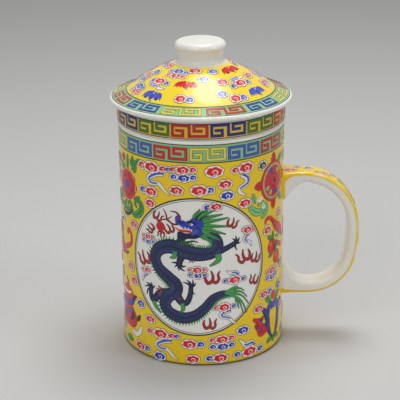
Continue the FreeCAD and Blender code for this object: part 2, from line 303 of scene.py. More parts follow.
def lidGlaze():
    material, tree, shader, place = startMaterial("lidGlaze")
    turned = placeGroup(tree, turnedGroup, {"Radius": lid["creaseRadius"] * mm}, {"Vector": place})
    out, up = turned.outputs["Out"], turned.outputs["Up"]

    # 1 within this ring and near the line between its edges, which the underside is well below.
    def upperFace(inner, outer, innerHeight, outerHeight):
        slope = (innerHeight - outerHeight) / (outer - inner)
        level = mathNode(tree, "MULTIPLY_ADD", out, slope, up)
        near = above(tree, level, (outerHeight + slope * outer - lid["paintDepth"]) * mm)
        return mathNode(tree, "MULTIPLY", near, between(tree, out, inner * mm, outer * mm))

    dome = upperFace(lid["seatRadius"] + lid["knobMargin"], lid["creaseRadius"],
                     lid["seatHeight"], lid["creaseHeight"])
    brim = upperFace(lid["creaseRadius"], lid["lineRadius"], lid["creaseHeight"], lid["lineHeight"])
    colour = mixColour(tree, dome, linear("porcelain"), linear("lidYellow"))
    colour = mixColour(tree, brim, colour, linear("jade"))
    finishGlaze(tree, shader, place, colour)
    return material


def knobGlaze():
    material, tree, shader, place = startMaterial("knobGlaze")
    finishGlaze(tree, shader, place, linear("porcelain"))
    return material


# Yellow where the strap meets the wall; lengths in millimetres

roots = {
    "wallReach": 1.3,       # this near the wall the upper part is all yellow
    "upperShare": 0.6,      # the upper part starts at this share of the mug's height
    "topReach": 9.0,
    "bottomReach": 12.0,
    "slant": 0.52,          # how fast the yellow thins out, away from the wall
    "depthAtWall": 4.0,
    "depthAtEdge": 1.4,
}


# White, with the yellow of the wall and of the strap's outer face running together at the two roots.
def handleGlaze():
    material, tree, shader, place = startMaterial("handleGlaze")
    turned = placeGroup(tree, turnedGroup, {"Radius": mug["radius"] * mm}, {"Vector": place})
    away = mathNode(tree, "SUBTRACT", turned.outputs["Out"], mug["radius"] * mm)
    up = turned.outputs["Up"]
    near = mathNode(tree, "LESS_THAN", away, roots["wallReach"] * mm)
    painted = mathNode(tree, "MULTIPLY", near, above(tree, up, mugHigh.z * roots["upperShare"] * mm))
    for depth, reach in ((mathNode(tree, "SUBTRACT", handleHigh.z * mm, up), roots["topReach"]),
                         (mathNode(tree, "SUBTRACT", up, handleLow.z * mm), roots["bottomReach"])):
        thinned = mathNode(tree, "MULTIPLY_ADD", away, roots["slant"], depth)
        slanted = mathNode(tree, "LESS_THAN", thinned, roots["depthAtWall"] * mm)
        thin = mathNode(tree, "LESS_THAN", depth, roots["depthAtEdge"] * mm)
        edge = mathNode(tree, "MAXIMUM", slanted, thin)
        straight = mathNode(tree, "LESS_THAN", away, reach * mm)
        painted = mathNode(tree, "MAXIMUM", painted, mathNode(tree, "MULTIPLY", edge, straight))
    finishGlaze(tree, shader, place, mixColour(tree, painted, linear("porcelain"), linear("yellow")))
    return material


medallion = {"round": -3.1, "up": 52.4, "radius": 35.6, "line": 0.75, "gap": 0.3}
backTurn = math.pi * mug["radius"]
medallionPlaces = [(medallion["round"], medallion["up"]), (medallion["round"] + backTurn, medallion["up"])]


def assignFinish(node, material):
    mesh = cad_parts[node].data
    mesh.materials.clear()
    mesh.materials.append(material)


assignFinish("mug_body", mugGlaze([place + (medallion["radius"],) for place in medallionPlaces]))
assignFinish("infuser_basket", infuserGlaze())
assignFinish("lid_cover", lidGlaze())
assignFinish("lid_knob", knobGlaze())
assignFinish("mug_handle", handleGlaze())
print("glazes on the five porcelain pieces")


# Where paint goes: each carrier turns flat millimetres (along, up, height over the glaze) into
# a place in the frame's metres and the direction the paint faces

def uprightWall(radius):
    def place(along, up, height):
        angle = along / radius
        normal = Vector((math.sin(angle), -math.cos(angle), 0))
        return (normal * (radius + height) + Vector((0, 0, up))) * mm, normal
    return place


lid["fretRadius"] = lid["lineRadius"] - 3.6
brimFall = math.atan2(lid["creaseHeight"] - lid["lineHeight"], lid["lineRadius"] - lid["creaseRadius"])


# along is measured at the middle of the fret band, up is the distance in from the brim's line.
def brimPlace(along, up, height):
    out = lid["lineRadius"] - up
    angle = along / lid["fretRadius"]
    away = Vector((math.sin(angle), -math.cos(angle), 0))
    normal = away * math.sin(brimFall) + Vector((0, 0, math.cos(brimFall)))
    rise = lid["creaseHeight"] - (out - lid["creaseRadius"]) * math.tan(brimFall)
    return (away * out + Vector((0, 0, rise)) + normal * height) * mm, normal


# Centre of the arc that makes the dome, as (distance from the axis, height).
def domeCentre():
    crease = Vector((lid["creaseRadius"], lid["creaseHeight"]))
    seat = Vector((lid["seatRadius"], lid["seatHeight"]))
    chord = seat - crease
    inward = Vector((chord.y, -chord.x)).normalized()
    if inward.y > 0:
        inward = -inward
    return (crease + seat) / 2 + inward * math.sqrt(lid["domeBulge"] ** 2 - chord.length_squared / 4)


domeAxis = domeCentre()


# across and away are plan distances, to the right of the axis and towards the back.
def domePlace(across, away, height):
    out = math.hypot(across, away)
    slant = (out - domeAxis.x) / lid["domeBulge"]
    upright = math.sqrt(max(0.0, 1 - slant * slant))
    normal = Vector((across / out * slant, away / out * slant, upright))
    base = Vector((across, away, domeAxis.y + upright * lid["domeBulge"]))
    return (base + normal * height) * mm, normal


# The handle's outer face: a straight from the wall, three arcs that meet smoothly, and a straight back

handle = {
    "width": 12.5,
    "round": 1.3,           # edges of the outer face
    "overlap": 0.2,         # how far the yellow goes down the strap's sides
    "flare": 2.6,           # how much wider each side is at the wall
    "flareLength": 2.8,
    "flareRound": 0.9,      # the edge's round grows with the flare
    "sink": 1.5,            # the paint starts this far inside the wall
    "upperRound": 28.0,
    "sideRound": 60.0,
    "lowerRound": 24.0,
    "sideHeight": 56.5,
}


# Each run as (length, centre, radius, bearing where it starts), with no radius for a straight.
def handleRuns():
    side = Vector((handleHigh.x - handle["sideRound"], handle["sideHeight"]))
    runs = []
    centres = []
    for name, height in (("upperRound", handleHigh.z - handle["upperRound"]),
                         ("lowerRound", handleLow.z + handle["lowerRound"])):
        rise = height - side.y
        reach = math.sqrt((handle["sideRound"] - handle[name]) ** 2 - rise ** 2)
        centres.append((Vector((side.x + reach, height)), handle[name], math.atan2(rise, reach)))
    (upper, upperRound, upperMeet), (lower, lowerRound, lowerMeet) = centres
    quarter = math.pi / 2
    start = mug["radius"] - handle["sink"]
    runs.append((upper.x - start, Vector((start, handleHigh.z)), None, quarter))
    runs.append(((quarter - upperMeet) * upperRound, upper, upperRound, quarter))
    runs.append(((upperMeet - lowerMeet) * handle["sideRound"], side, handle["sideRound"], upperMeet))
    runs.append(((lowerMeet + quarter) * lowerRound, lower, lowerRound, lowerMeet))
    runs.append((lower.x - start, Vector((lower.x, handleLow.z)), None, -quarter))
    return runs


runs = handleRuns()
handle["length"] = sum(run[0] for run in runs)


def flareAt(away):
    return handle["flare"] * math.exp(-((max(away, 0) / handle["flareLength"]) ** 1.5))


# along runs over the top and down; up is across the strap, towards the back.
def handlePlace(along, up, height):
    left = min(max(along, 0), handle["length"] - 0.001)
    for length, centre, radius, bearing in runs:
        if left < length:
            break
        left -= length
    if radius:
        bearing -= left / radius
        spot = centre + Vector((math.cos(bearing), math.sin(bearing))) * radius
    else:
        spot = centre + Vector((math.sin(bearing), 0)) * left
    flare = flareAt(spot.x - mug["radius"]) if not radius else 0.0
    edge = handle["round"] + flare * handle["flareRound"]
    across, drop, lean = overEdge(up, handle["width"] / 2 + flare, edge)
    outward = Vector((math.cos(bearing), 0, math.sin(bearing)))
    normal = outward * math.cos(lean) + Vector((0, math.sin(lean), 0))
    return (Vector((spot.x, across, spot.y)) - outward * drop + normal * height) * mm, normal


# How a distance across the strap runs on over its rounded edge: (across, drop, lean).
def overEdge(up, half, edge):
    flat = half - edge
    over = abs(up) - flat
    if over <= 0:
        return up, 0.0, 0.0
    hand = math.copysign(1, up)
    lean = min(over / edge, math.pi / 2)
    across = flat + edge * math.sin(lean)
    drop = edge * (1 - math.cos(lean)) + max(0.0, over - edge * math.pi / 2)
    return across * hand, drop, lean * hand


carriers = {
    "mug": {"body": "mug", "place": uprightWall(mug["radius"]), "cut": (2.0, 0)},
    "handle": {"body": "mug", "place": handlePlace, "cut": (1.6, 0.8)},
    "collar": {"body": "infuser", "place": uprightWall(collar["radius"]), "cut": (2.0, 0)},
    "brim": {"body": "lid", "place": brimPlace, "cut": (2.0, 0)},
    "dome": {"body": "lid", "place": domePlace, "cut": (2.0, 2.0)},
}
glazeGap = 0.05         # the lowest paint's height over the glaze
levelStep = 0.02        # each level of paint lies this much higher
sheetThickness = 0.14
inkWidth = 0.24
hoopSteps = 96
ringSteps = 72
sheets = {}
brush = {"spot": Matrix.Identity(3)}


# Where the next shapes go: moved, turned, and made larger or flatter.
def setBrush(x=0.0, y=0.0, lean=0.0, size=1.0, squash=1.0):
    turn = Matrix.Rotation(math.radians(lean), 3, "Z")
    move = Matrix(((1, 0, x), (0, 1, y), (0, 0, 1)))
    brush["spot"] = move @ turn @ Matrix.Diagonal((size, size * squash, 1))


def dab(bm, point, level):
    spot = brush["spot"] @ Vector((point[0], point[1], 1))
    return bm.verts.new((spot.x, spot.y, glazeGap + levelStep * level))


# Curves and shapes in flat millimetres; a point may carry a stroke's width as its third number

# Points on a smooth curve through the given ones.
def smooth(points, closed=False, steps=4):
    count = len(points)
    knots = [Vector(point) for point in points]
    spans = count if closed else count - 1
    curve = []
    for span in range(spans):
        near = [knots[(span + k) % count] if closed else knots[min(max(span + k, 0), count - 1)]
                for k in (-1, 0, 1, 2)]
        before = near[1] + (near[2] - near[0]) / 6
        after = near[2] - (near[3] - near[1]) / 6
        for step in range(steps):
            t = step / steps
            curve.append(near[1] * (1 - t) ** 3 + before * 3 * t * (1 - t) ** 2
                         + after * 3 * t * t * (1 - t) + near[2] * t ** 3)
    if not closed:
        curve.append(knots[-1])
    return curve


def oval(x, y, width, height, points=14, lean=0.0):
    turn = Matrix.Rotation(math.radians(lean), 2)
    ring = []
    for step in range(points):
        angle = math.tau * step / points
        spot = Vector((math.cos(angle) * width / 2, math.sin(angle) * height / 2))
        ring.append(Vector((x, y)) + turn @ spot)
    return ring


# A comma that winds inwards, as stroke points.
def swirl(x, y, radius, turns=1.15, width=0.9, start=200, squash=0.85, points=11):
    curl = []
    for step in range(points):
        part = step / (points - 1)
        angle = math.radians(start) + math.tau * turns * part
        reach = radius * (1 - 0.78 * part)
        curl.append((x + math.cos(angle) * reach, y + math.sin(angle) * reach * squash,
                     width * (0.55 + 0.45 * math.sin(math.pi * min(1, part * 1.4)))))
    return curl


# The closed outline moved outwards by amount.
def grown(outline, amount):
    count = len(outline)
    area = sum(outline[i].x * outline[(i + 1) % count].y - outline[(i + 1) % count].x * outline[i].y
               for i in range(count))
    side = 1 if area > 0 else -1
    larger = []
    for i, point in enumerate(outline):
        along = outline[(i + 1) % count] - outline[i - 1]
        larger.append(point + Vector((along.y, -along.x)).normalized() * amount * side)
    return larger


def sheetFor(carrier, colour):
    if (carrier, colour) not in sheets:
        sheets[carrier, colour] = bmesh.new()
    return sheets[carrier, colour]


# Fills a closed outline with one colour.
def layShape(carrier, colour, outline, level=1, grow=0.0):
    outline = [Vector(point[:2]) for point in outline]
    if grow:
        outline = grown(outline, grow)
    bm = sheetFor(carrier, colour)
    bm.faces.new([dab(bm, point, level) for point in outline])


# Lays a ribbon along a path of (along, up, width) points.
def layStroke(carrier, colour, path, level=1, grow=0.0, closed=False):
    bm = sheetFor(carrier, colour)
    count = len(path)
    rails = []
    for i, point in enumerate(path):
        before = path[i - 1] if (i or closed) else path[i]
        after = path[(i + 1) % count] if (i < count - 1 or closed) else path[i]
        along = Vector((after[0] - before[0], after[1] - before[1])).normalized()
        side = Vector((-along.y, along.x)) * (point[2] / 2 + grow)
        centre = Vector(point[:2])
        if grow and not closed and i in (0, count - 1):
            centre += along * grow * (1 if i else -1)
        rails.append([dab(bm, spot, level) for spot in (centre + side, centre - side)])
    for i in range(count if closed else count - 1):
        left, right = rails[i]
        nextLeft, nextRight = rails[(i + 1) % count]
        bm.faces.new((left, right, nextRight, nextLeft))


# A filled shape with a thin dark edge, one level lower unless ink gives another.
def inked(carrier, colour, outline, ink=None, level=1):
    layShape(carrier, "ink", outline, level - 1 if ink is None else ink, inkWidth)
    layShape(carrier, colour, outline, level)


def inkedStroke(carrier, colour, path, ink=0, level=None, lineWidth=inkWidth):
    layStroke(carrier, "ink", path, ink, lineWidth)
    layStroke(carrier, colour, path, ink + 1 if level is None else level)


# Points drawn round (0, 0), set at (x, y); a width grows with them.
def moved(points, x, y, size=1.0, lean=0.0, mirror=False):
    turn = Matrix.Rotation(math.radians(lean), 2)
    out = []
    for point in points:
        flat = turn @ Vector((-point[0] if mirror else point[0], point[1])) * size
        out.append((x + flat.x, y + flat.y) + tuple(width * size for width in point[2:]))
    return out


# Fret bands

fret = {
    "mug": {"units": 14, "start": -5.5, "low": 106.75, "high": 112.95, "bar": 1.05, "fill": 0.925,
            "colours": ("straw", "sky", "red")},
    "collar": {"units": 14, "start": 4.4, "low": 118.35, "high": 124.45, "bar": 1.05, "fill": 0.936,
               "colours": ("royal", "grass", "ruby")},
    "brim": {"units": 12, "start": 2.45, "low": 1.25, "high": 5.9, "bar": 0.85, "fill": 0.885,
             "colours": ("red", "blue", "straw")},
}


# One key-pattern unit as the middle line of its bar: a square hook at each end of one line.
def fretPath(left, low, width, height):
    x = [left + width * part for part in (0.03, 0.147, 0.315, 0.49, 0.622, 0.81, 0.97)]
    y = [low + height * part for part in (0.085, 0.5, 0.915)]
    return [(x[1], y[1]), (x[2], y[1]), (x[2], y[0]), (x[0], y[0]), (x[0], y[2]), (x[3], y[2]),
            (x[3], y[0]), (x[6], y[0]), (x[6], y[2]), (x[4], y[2]), (x[4], y[1]), (x[5], y[1])]


# A bar of even width with mitred corners.
def layBar(carrier, colour, corners, width, level, grow=0.0):
    bm = sheetFor(carrier, colour)
    half = width / 2 + grow
    knots = [Vector(corner) for corner in corners]
    rails = []
    for i, knot in enumerate(knots):
        inward = (knot - knots[i - 1]).normalized() if i else (knots[1] - knot).normalized()
        outward = (knots[i + 1] - knot).normalized() if i < len(knots) - 1 else inward
        bisector = (Vector((-inward.y, inward.x)) + Vector((-outward.y, outward.x))).normalized()
        reach = half / max(0.4, bisector.dot(Vector((-inward.y, inward.x))))
        centre = knot.copy()
        if i in (0, len(knots) - 1):
            centre += inward * (half if i else -half)
        rail = bisector * reach
        rails.append([dab(bm, spot, level) for spot in (centre + rail, centre - rail)])
    for (left, right), (nextLeft, nextRight) in zip(rails, rails[1:]):
        bm.faces.new((left, right, nextRight, nextLeft))


def fretBand(carrier, radius):
    band = fret[carrier]
    pitch = math.tau * radius / band["units"]
    half = band["units"] // 2
    for unit in range(-half, band["units"] - half):
        corners = fretPath(band["start"] + pitch * unit, band["low"], pitch * band["fill"],
                           band["high"] - band["low"])
        layBar(carrier, "ink", corners, band["bar"], 1, 0.2)
        layBar(carrier, band["colours"][unit % 3], corners, band["bar"], 2)


fretBand("mug", mug["radius"])
fretBand("collar", collar["radius"])
fretBand("brim", lid["fretRadius"])


# A line right round a carrier.
def hoop(carrier, colour, radius, height, width):
    around = math.tau * radius
    path = [(around * step / hoopSteps, height, width) for step in range(hoopSteps + 1)]
    layStroke(carrier, colour, path, 0)


hoop("mug", "ink", mug["radius"], mug["bandBottom"], 0.5)
hoop("mug", "ink", mug["radius"], mug["bandTop"] - 0.1, 0.45)
hoop("mug", "ink", mug["radius"], mug["footLine"] + 0.3, 0.3)
hoop("collar", "ink", collar["radius"], collar["bandBottom"], 0.4)
hoop("collar", "ink", collar["radius"], collar["bandTop"] - 0.05, 0.4)
hoop("brim", "ink", lid["fretRadius"], lid["lineRadius"] - lid["creaseRadius"] - 0.35, 0.5)
hoop("brim", "ink", lid["fretRadius"], 0.15, 0.35)
print("fret bands on mug, collar and brim")


def roundLine(centreX, centreY, radius, width, colour):
    ring = [(centreX + math.cos(math.tau * step / ringSteps) * radius,
             centreY + math.sin(math.tau * step / ringSteps) * radius, width) for step in range(ringSteps)]
    layStroke("mug", colour, ring, 0, closed=True)


for centreX, centreY in medallionPlaces:
    roundLine(centreX, centreY, medallion["radius"], medallion["line"], "greyInk")
    roundLine(centreX, centreY, medallion["radius"] - medallion["gap"] - medallion["line"], 0.3, "greyInk")


# Clouds: white lobes edged in ink, each with a coloured heart and a white comma

def scallop(x, y, width, height, bumps=7, depth=0.09, points=28):
    ring = []
    for step in range(points):
        angle = math.tau * step / points
        reach = 1 - depth + depth * 2 * abs(math.sin(angle * bumps / 2 + 0.6))
        ring.append(Vector((x + math.cos(angle) * width / 2 * reach,
                            y + math.sin(angle) * height / 2 * reach)))
    return ring


def puff(carrier, x, y, width, colour, level=1):
    height = width * (0.66 if width > 6 else 0.8)
    big = width > 5
    body = scallop(x, y, width, height) if big else oval(x, y, width, height)
    layShape(carrier, "ink", body, level, inkWidth)
    layShape(carrier, "white", body, level + 1)
    heart = oval(x, y, width * 0.74, height * 0.72)
    if big:
        heart = scallop(x, y, width * 0.8, height * 0.74, 6, 0.12, 20)
    layShape(carrier, colour, heart, level + 2)
    turns = 1.05 if big else 0.8
    comma = swirl(x, y - height * 0.04, width * 0.24, turns, 0.12 + width * 0.045, 250, 0.72, 9)
    layStroke(carrier, "white", comma, level + 3)


# Lobes are (along, up, width, colour), the last one in front; the tail is a tapering ribbon.
def cloud(carrier, lobes, tail=None):
    if tail:
        path = smooth(tail)
        inkedStroke(carrier, "white", path, 0)
        light = [(p[0] + p[2] * 0.16, p[1], p[2] * 0.42) for p in path[:len(path) * 2 // 3]]
        layStroke(carrier, "sky", light, 2)
    for x, y, width, colour in lobes[:-1]:
        puff(carrier, x, y, width, colour, 1)
    puff(carrier, *lobes[-1], level=4)


def single(x, y, colour, width=7.2):
    return [(x, y, width, colour)]


def pair(x, y, colour, side, partner, width=7.6):
    return [(x + side, y + 0.1, 5.0, partner), (x, y, width, colour)]


# Three lobes over three of the other colour.
def double(x, y, upper="red", lower="blue", size=1.0):
    return [(x - 4.6 * size, y - 3.7 * size, 4.2 * size, lower),
            (x + 5.0 * size, y - 3.6 * size, 4.2 * size, lower),
            (x + 0.4 * size, y - 4.0 * size, 6.6 * size, lower), (x - 4.8 * size, y, 4.2 * size, upper),
            (x + 4.8 * size, y + 0.2 * size, 4.4 * size, upper), (x, y, 7.0 * size, upper)]


mugClouds = [
    ([(-31.5, 101.5, 5.2, "red"), (-16.3, 101.7, 3.6, "blue"), (-19.2, 101.6, 4.8, "red"),
      (-25.5, 101.5, 9.0, "red")],
     [(-19, 99.3, 2.6), (-23, 98.8, 3.0), (-27.4, 96, 2.4), (-26, 93.8, 2.2), (-21.5, 93.8, 1.8),
      (-18.6, 91, 1.3), (-16, 89, 0.5)]),
    (double(-9.0, 102.0), None),
    (single(6, 101.2, "red", 9.0), None),
    ([(16.4, 101, 4.8, "red"), (22.2, 101.4, 8.6, "red")],
     [(19.6, 98.4, 2.8), (22.6, 96.4, 2.8), (22.6, 93.6, 2.4), (18.8, 91.6, 1.9), (18.6, 89.6, 1.6),
      (22, 87.6, 0.5)]),
    (pair(-26, 89.1, "red", -5.2, "blue"), None),
    (single(-12.3, 91.6, "red"), None),
    (pair(-1.3, 92, "red", 5.2, "blue", 8.6), None),
    (single(11.2, 94.6, "red"), None),
    (single(12.2, 88.8, "blue"), None),
    (single(-26.8, 83, "red", 6.0), None),
    (single(21.6, 83.6, "red"), None),
    (single(-39.0, 69, "red", 6.2), None),
    (single(-43.0, 45.6, "red", 6.0), None),
    (single(-40.0, 38.7, "red", 6.0), None),
    (single(-35, 28, "blue", 6.0), None),
    (single(-28.5, 21.5, "red", 6.6), None),
    ([(-29, 15, 4.8, "red"), (-13.2, 15.3, 3.6, "blue"), (-16, 15.2, 4.6, "red"),
      (-22.3, 15.2, 8.6, "red")],
     [(-16.5, 12.6, 2.4), (-20.5, 11.8, 2.8), (-24.6, 9.4, 2.4), (-23, 7.4, 2.2), (-18.6, 7.4, 1.8),
      (-15.4, 4.2, 1.2), (-12.8, 2.8, 0.5)]),
    (single(-23, 2.9, "blue"), None),
    (pair(-36.2, 4.6, "red", 5.2, "blue"), None),
    (pair(-7.0, 11.8, "red", 5.6, "blue", 8.0), None),
    (single(-5.4, 3.7, "red"), None),
    (double(9.2, 14.0), None),
    (pair(8.4, 4.0, "red", -5.4, "blue", 8.0), None),
    (single(20.4, 17.1, "blue"), None),
    ([(17.2, 4.6, 4.6, "blue"), (31.2, 4.2, 4.8, "blue"), (24.3, 4.6, 9.0, "red")],
     [(26.8, 7.4, 2.6), (25.4, 9.0, 2.8), (21.8, 8.6, 2.2), (20.2, 10.4, 1.6), (18.2, 12.4, 0.5)]),
    (single(36.4, 66, "red", 6.0), None),
    (double(40.5, 43.4, size=0.82), None),
    (pair(34.0, 32.6, "red", 4.8, "blue", 6.6), None),
    (single(48, 33, "blue", 6.0), None),
    (single(30, 26, "red", 6.4), None),
    (single(32.6, 100.2, "greyInk", 5.8), None),
    (single(48.0, 71.5, "red", 6.0), None),
]
sideClouds = [
    (double(-62.0, 98.0, size=0.9), None),
    (single(-55.5, 90.0, "red"), None),
    (single(-66.5, 86.0, "blue"), None),
    (single(-60.5, 78.0, "red"), None),
    (single(-69.0, 72.0, "red"), None),
    (single(-63.0, 44.0, "red"), None),
    (pair(-69.5, 52.0, "red", 5.0, "blue"), None),
    (single(-57.5, 38.0, "blue"), None),
    (double(-66.0, 33.0, size=0.9), None),
    (single(-57.5, 22.0, "red"), None),
    (single(-68.5, 18.0, "blue"), None),
    (pair(-60.0, 9.0, "red", 5.2, "blue"), None),
    (single(-72.0, 7.0, "red"), None),
    (single(57.0, 99.5, "red"), None),
    (pair(66.5, 97.0, "red", 5.0, "blue"), None),
    (single(52.5, 43.5, "red", 6.2), None),
    (single(52.0, 21.0, "red", 6.0), None),
    (double(64.0, 15.0, size=0.9), None),
    (single(56.0, 6.0, "blue"), None),
]
medallionClouds = [
    ([(2.6, 83.4, 4.6, "blue"), (6.7, 83.7, 6.2, "red")], None),
    (double(-28.6, 65.4, size=0.62), None),
    ([(20.8, 70.2, 2.8, "red"), (26.2, 69.3, 3.2, "red"), (22.9, 69.7, 5.2, "red")],
     [(23.5, 67.6, 1.8), (21.6, 66.2, 1.9), (21.6, 64.2, 1.6), (24.6, 63.0, 1.2), (25.2, 61.0, 0.4)]),
    ([(-32.2, 47.4, 3.0, "red"), (-29.6, 47.6, 4.6, "red")],
     [(-30, 45.6, 1.8), (-32.2, 43.8, 1.5), (-33, 41.4, 0.4)]),
    (double(-2.6, 51.4, size=0.72), None),
    ([(11.2, 45.0, 3.4, "blue"), (20.8, 44.8, 3.4, "blue"), (15.9, 45.0, 6.8, "red")],
     [(17.6, 47.4, 2.2), (15.8, 48.8, 2.0), (13.4, 49.0, 1.4), (11.8, 50.2, 0.4)]),
    ([(6.4, 31.2, 3.4, "red"), (15.4, 31.2, 3.4, "blue"), (10.4, 31.2, 6.0, "red")],
     [(13.6, 29.0, 2.0), (10.2, 28.6, 2.2), (8.8, 26.6, 2.0), (12.6, 25.2, 1.6), (14.8, 22.8, 1.0),
      (16.4, 21.8, 0.4)]),
]


# Dragon: a traditional five-clawed dragon chasing a pearl, drawn afresh

dragon = {
    "spine": [(3.4, 70.6, 4.2), (6.6, 67.2, 4.6), (7.4, 63.4, 5.0), (4.4, 60.2, 5.6), (-2.6, 59.6, 6.6),
              (-9.6, 61.2, 7.4), (-16.0, 62.8, 7.0), (-21.8, 60.6, 6.2), (-24.4, 56.0, 5.8),
              (-22.6, 50.8, 5.8), (-17.8, 46.8, 6.2), (-13.6, 43.2, 6.4), (-13.6, 39.4, 6.2),
              (-17.2, 36.6, 6.0), (-19.4, 32.4, 5.8), (-17.0, 28.0, 5.8), (-10.2, 25.8, 5.6),
              (-4.0, 27.4, 5.0), (1.0, 31.6, 4.4), (5.0, 36.4, 3.9), (10.2, 38.5, 3.0),
              (15.4, 37.6, 1.6)],
    "legs": [
        [(5.6, 60.0, 4.2), (10.0, 61.4, 2.6), (14.6, 63.4, 2.2), (16.4, 64.4, 1.8)],
        [(-9.4, 59.6, 4.4), (-11.0, 56.4, 3.0), (-11.4, 53.4, 2.2)],
        [(-13.4, 38.6, 4.4), (-10.6, 34.0, 3.4), (-7.8, 34.4, 2.6), (-6.2, 38.4, 2.2), (-5.8, 42.4, 1.8)],
        [(-15.6, 38.4, 4.8), (-21.6, 37.2, 4.0), (-26.0, 32.8, 3.0), (-27.6, 35.8, 2.2),
         (-27.0, 39.0, 1.8)],
    ],
    "claws": [
        [(16.4, 64.4), (14.6, 66.6), (16.2, 67.8), (18.4, 66.8), (19.2, 64.2), (17.2, 60.2)],
        [(-11.4, 53.6), (-15.4, 54.4), (-13.8, 52.2), (-11.4, 50.6), (-8.6, 50.6), (-8.0, 53.4)],
        [(-5.8, 42.6), (-9.8, 44.6), (-8.0, 46.2), (-5.0, 46.6), (-3.4, 44.8), (-3.8, 38.6)],
        [(-27.0, 39.2), (-31.6, 38.4), (-30.6, 40.8), (-27.6, 41.8), (-25.0, 40.6), (-30.4, 34.4)],
    ],
    "mane": [
        [(-3.2, 76.6, 1.1), (-3.8, 79.0, 1.4), (-1.0, 82.6, 0.3)],
        [(-2.4, 77.0, 1.4), (-1.6, 80.2, 1.6), (2.8, 82.2, 0.3)],
        [(-1.6, 77.0, 1.6), (0.4, 79.6, 1.7), (6.0, 82.0, 0.3)],
        [(-1.2, 76.0, 1.9), (2.6, 78.4, 1.8), (9.8, 79.6, 0.3)],
        [(-1.0, 75.2, 2.0), (3.6, 76.4, 1.7), (12.6, 77.6, 0.3)],
        [(-1.0, 74.2, 2.2), (4.0, 74.0, 1.7), (13.0, 73.2, 0.3)],
        [(-1.4, 73.0, 2.2), (3.6, 72.0, 1.7), (11.2, 69.4, 0.3)],
        [(-2.0, 72.0, 2.0), (2.6, 69.8, 1.7), (8.4, 66.6, 0.3)],
        [(-2.6, 71.4, 1.7), (0.2, 68.4, 1.6), (4.6, 66.4, 0.3)],
    ],
    "head": [(-12.9, 77.9), (-11.7, 79.0), (-10.6, 78.2), (-10.3, 76.4), (-9.0, 76.6), (-7.6, 75.7),
             (-6.2, 76.4), (-4.8, 77.8), (-2.4, 77.6), (0.0, 76.6), (0.4, 74.0), (-0.8, 72.4),
             (0.2, 70.2), (-2.0, 69.4), (-3.4, 70.8), (-5.0, 72.4), (-7.6, 73.0), (-9.6, 72.9),
             (-10.6, 74.4), (-12.4, 74.8)],
    "jaw": [(-2.6, 71.6), (-5.2, 70.4), (-8.2, 70.0), (-10.6, 70.9), (-12.0, 70.0), (-10.2, 68.4),
            (-12.4, 66.0), (-9.6, 66.4), (-7.0, 67.8), (-3.4, 67.8), (-0.8, 69.4)],
    "whiskers": [
        [(-10.0, 75.2, 1.0), (-14.0, 74.4, 0.9), (-17.6, 76.4, 0.8), (-20.4, 75.6, 0.3)],
        [(-10.6, 78.4, 0.9), (-12.6, 80.6, 0.8), (-15.6, 80.8, 0.3)],
        [(-17.4, 76.2, 0.8), (-17.8, 79.0, 0.7), (-19.2, 81.6, 0.3)],
        [(-17.0, 76.6, 0.7), (-14.8, 78.4, 0.3)],
    ],
    "beard": [
        [(-10.6, 68.0, 1.8), (-8.4, 65.6, 1.4), (-4.4, 66.4, 0.9), (-2.0, 65.8, 0.4)],
        [(-11.6, 68.4, 1.4), (-11.0, 65.4, 1.2), (-7.6, 64.4, 0.9), (-4.6, 64.8, 0.3)],
    ],
    "face": [
        [(-11.8, 76.4, 0.9), (-10.2, 75.4, 0.8), (-8.6, 75.6, 0.4)],
        [(-7.4, 76.2, 1.0), (-5.0, 76.2, 1.0), (-3.2, 75.2, 0.8), (-1.8, 75.8, 0.3)],
        [(-3.2, 77.4, 1.2), (-2.0, 79.4, 1.0), (0.8, 81.6, 0.3)],
        [(-1.2, 77.0, 1.0), (0.6, 78.6, 0.8), (3.4, 79.4, 0.3)],
        [(-3.0, 73.6, 0.7), (-1.4, 72.6, 0.6), (-0.6, 71.0, 0.3)],
        [(-7.4, 69.0, 0.7), (-5.0, 68.8, 0.6), (-3.0, 69.4, 0.3)],
    ],
    "teeth": [(-9.6, 73.0), (-8.2, 72.9), (-6.6, 72.6), (-5.2, 71.9)],
    "plume": [(17.6, 40.6), (20.8, 38.4), (22.6, 34.8), (23.6, 30.8), (22.6, 26.4), (20.4, 26.8),
              (18.0, 29.6), (16.4, 33.2)],
    "tufts": [
        [(7.2, 59.4, 2.6), (7.8, 56.6, 2.4), (5.8, 54.8, 1.4), (3.6, 53.6, 0.4)],
        [(-13.6, 60.4, 2.0), (-14.0, 57.6, 1.8), (-16.0, 57.0, 0.4)],
        [(-10.4, 33.4, 1.8), (-9.8, 30.6, 1.6), (-11.4, 28.6, 0.4)],
        [(-26.0, 32.0, 2.0), (-24.4, 29.2, 1.6), (-21.8, 26.8, 0.4)],
    ],
    "pearl": (-21.0, 72.3, 4.3),
}
flames = [
    (-16.2, 71.6, 0.8, 20, False), (-22.6, 77.2, 0.8, -30, False), (-26.6, 70.2, 0.75, 60, True),
    (-20.6, 68.4, 0.6, 170, False), (14.6, 74.4, 0.85, -25, False), (21.2, 56.2, 1.15, 20, True),
    (27.8, 54.0, 0.9, -20, False), (4.4, 47.0, 1.15, 0, False), (27.0, 42.6, 0.85, -15, True),
    (3.0, 22.6, 1.0, -5, False), (-31.2, 53.6, 1.2, 25, True), (-5.0, 56.6, 0.4, 180, False),
    (-22.4, 38.6, 0.55, 60, False), (-12.0, 37.2, 0.5, -60, False),
]


# Even places on a smooth path: (point, direction, width).
def evenPlaces(path, pitch):
    places = []
    wait = 0.0
    for start, end in zip(path, path[1:]):
        step = Vector((end[0] - start[0], end[1] - start[1]))
        length = step.length
        while wait < length:
            part = wait / length
            places.append((Vector(start[:2]) + step * part, step.normalized(),
                           start[2] + (end[2] - start[2]) * part))
            wait += pitch
        wait -= length
    return places


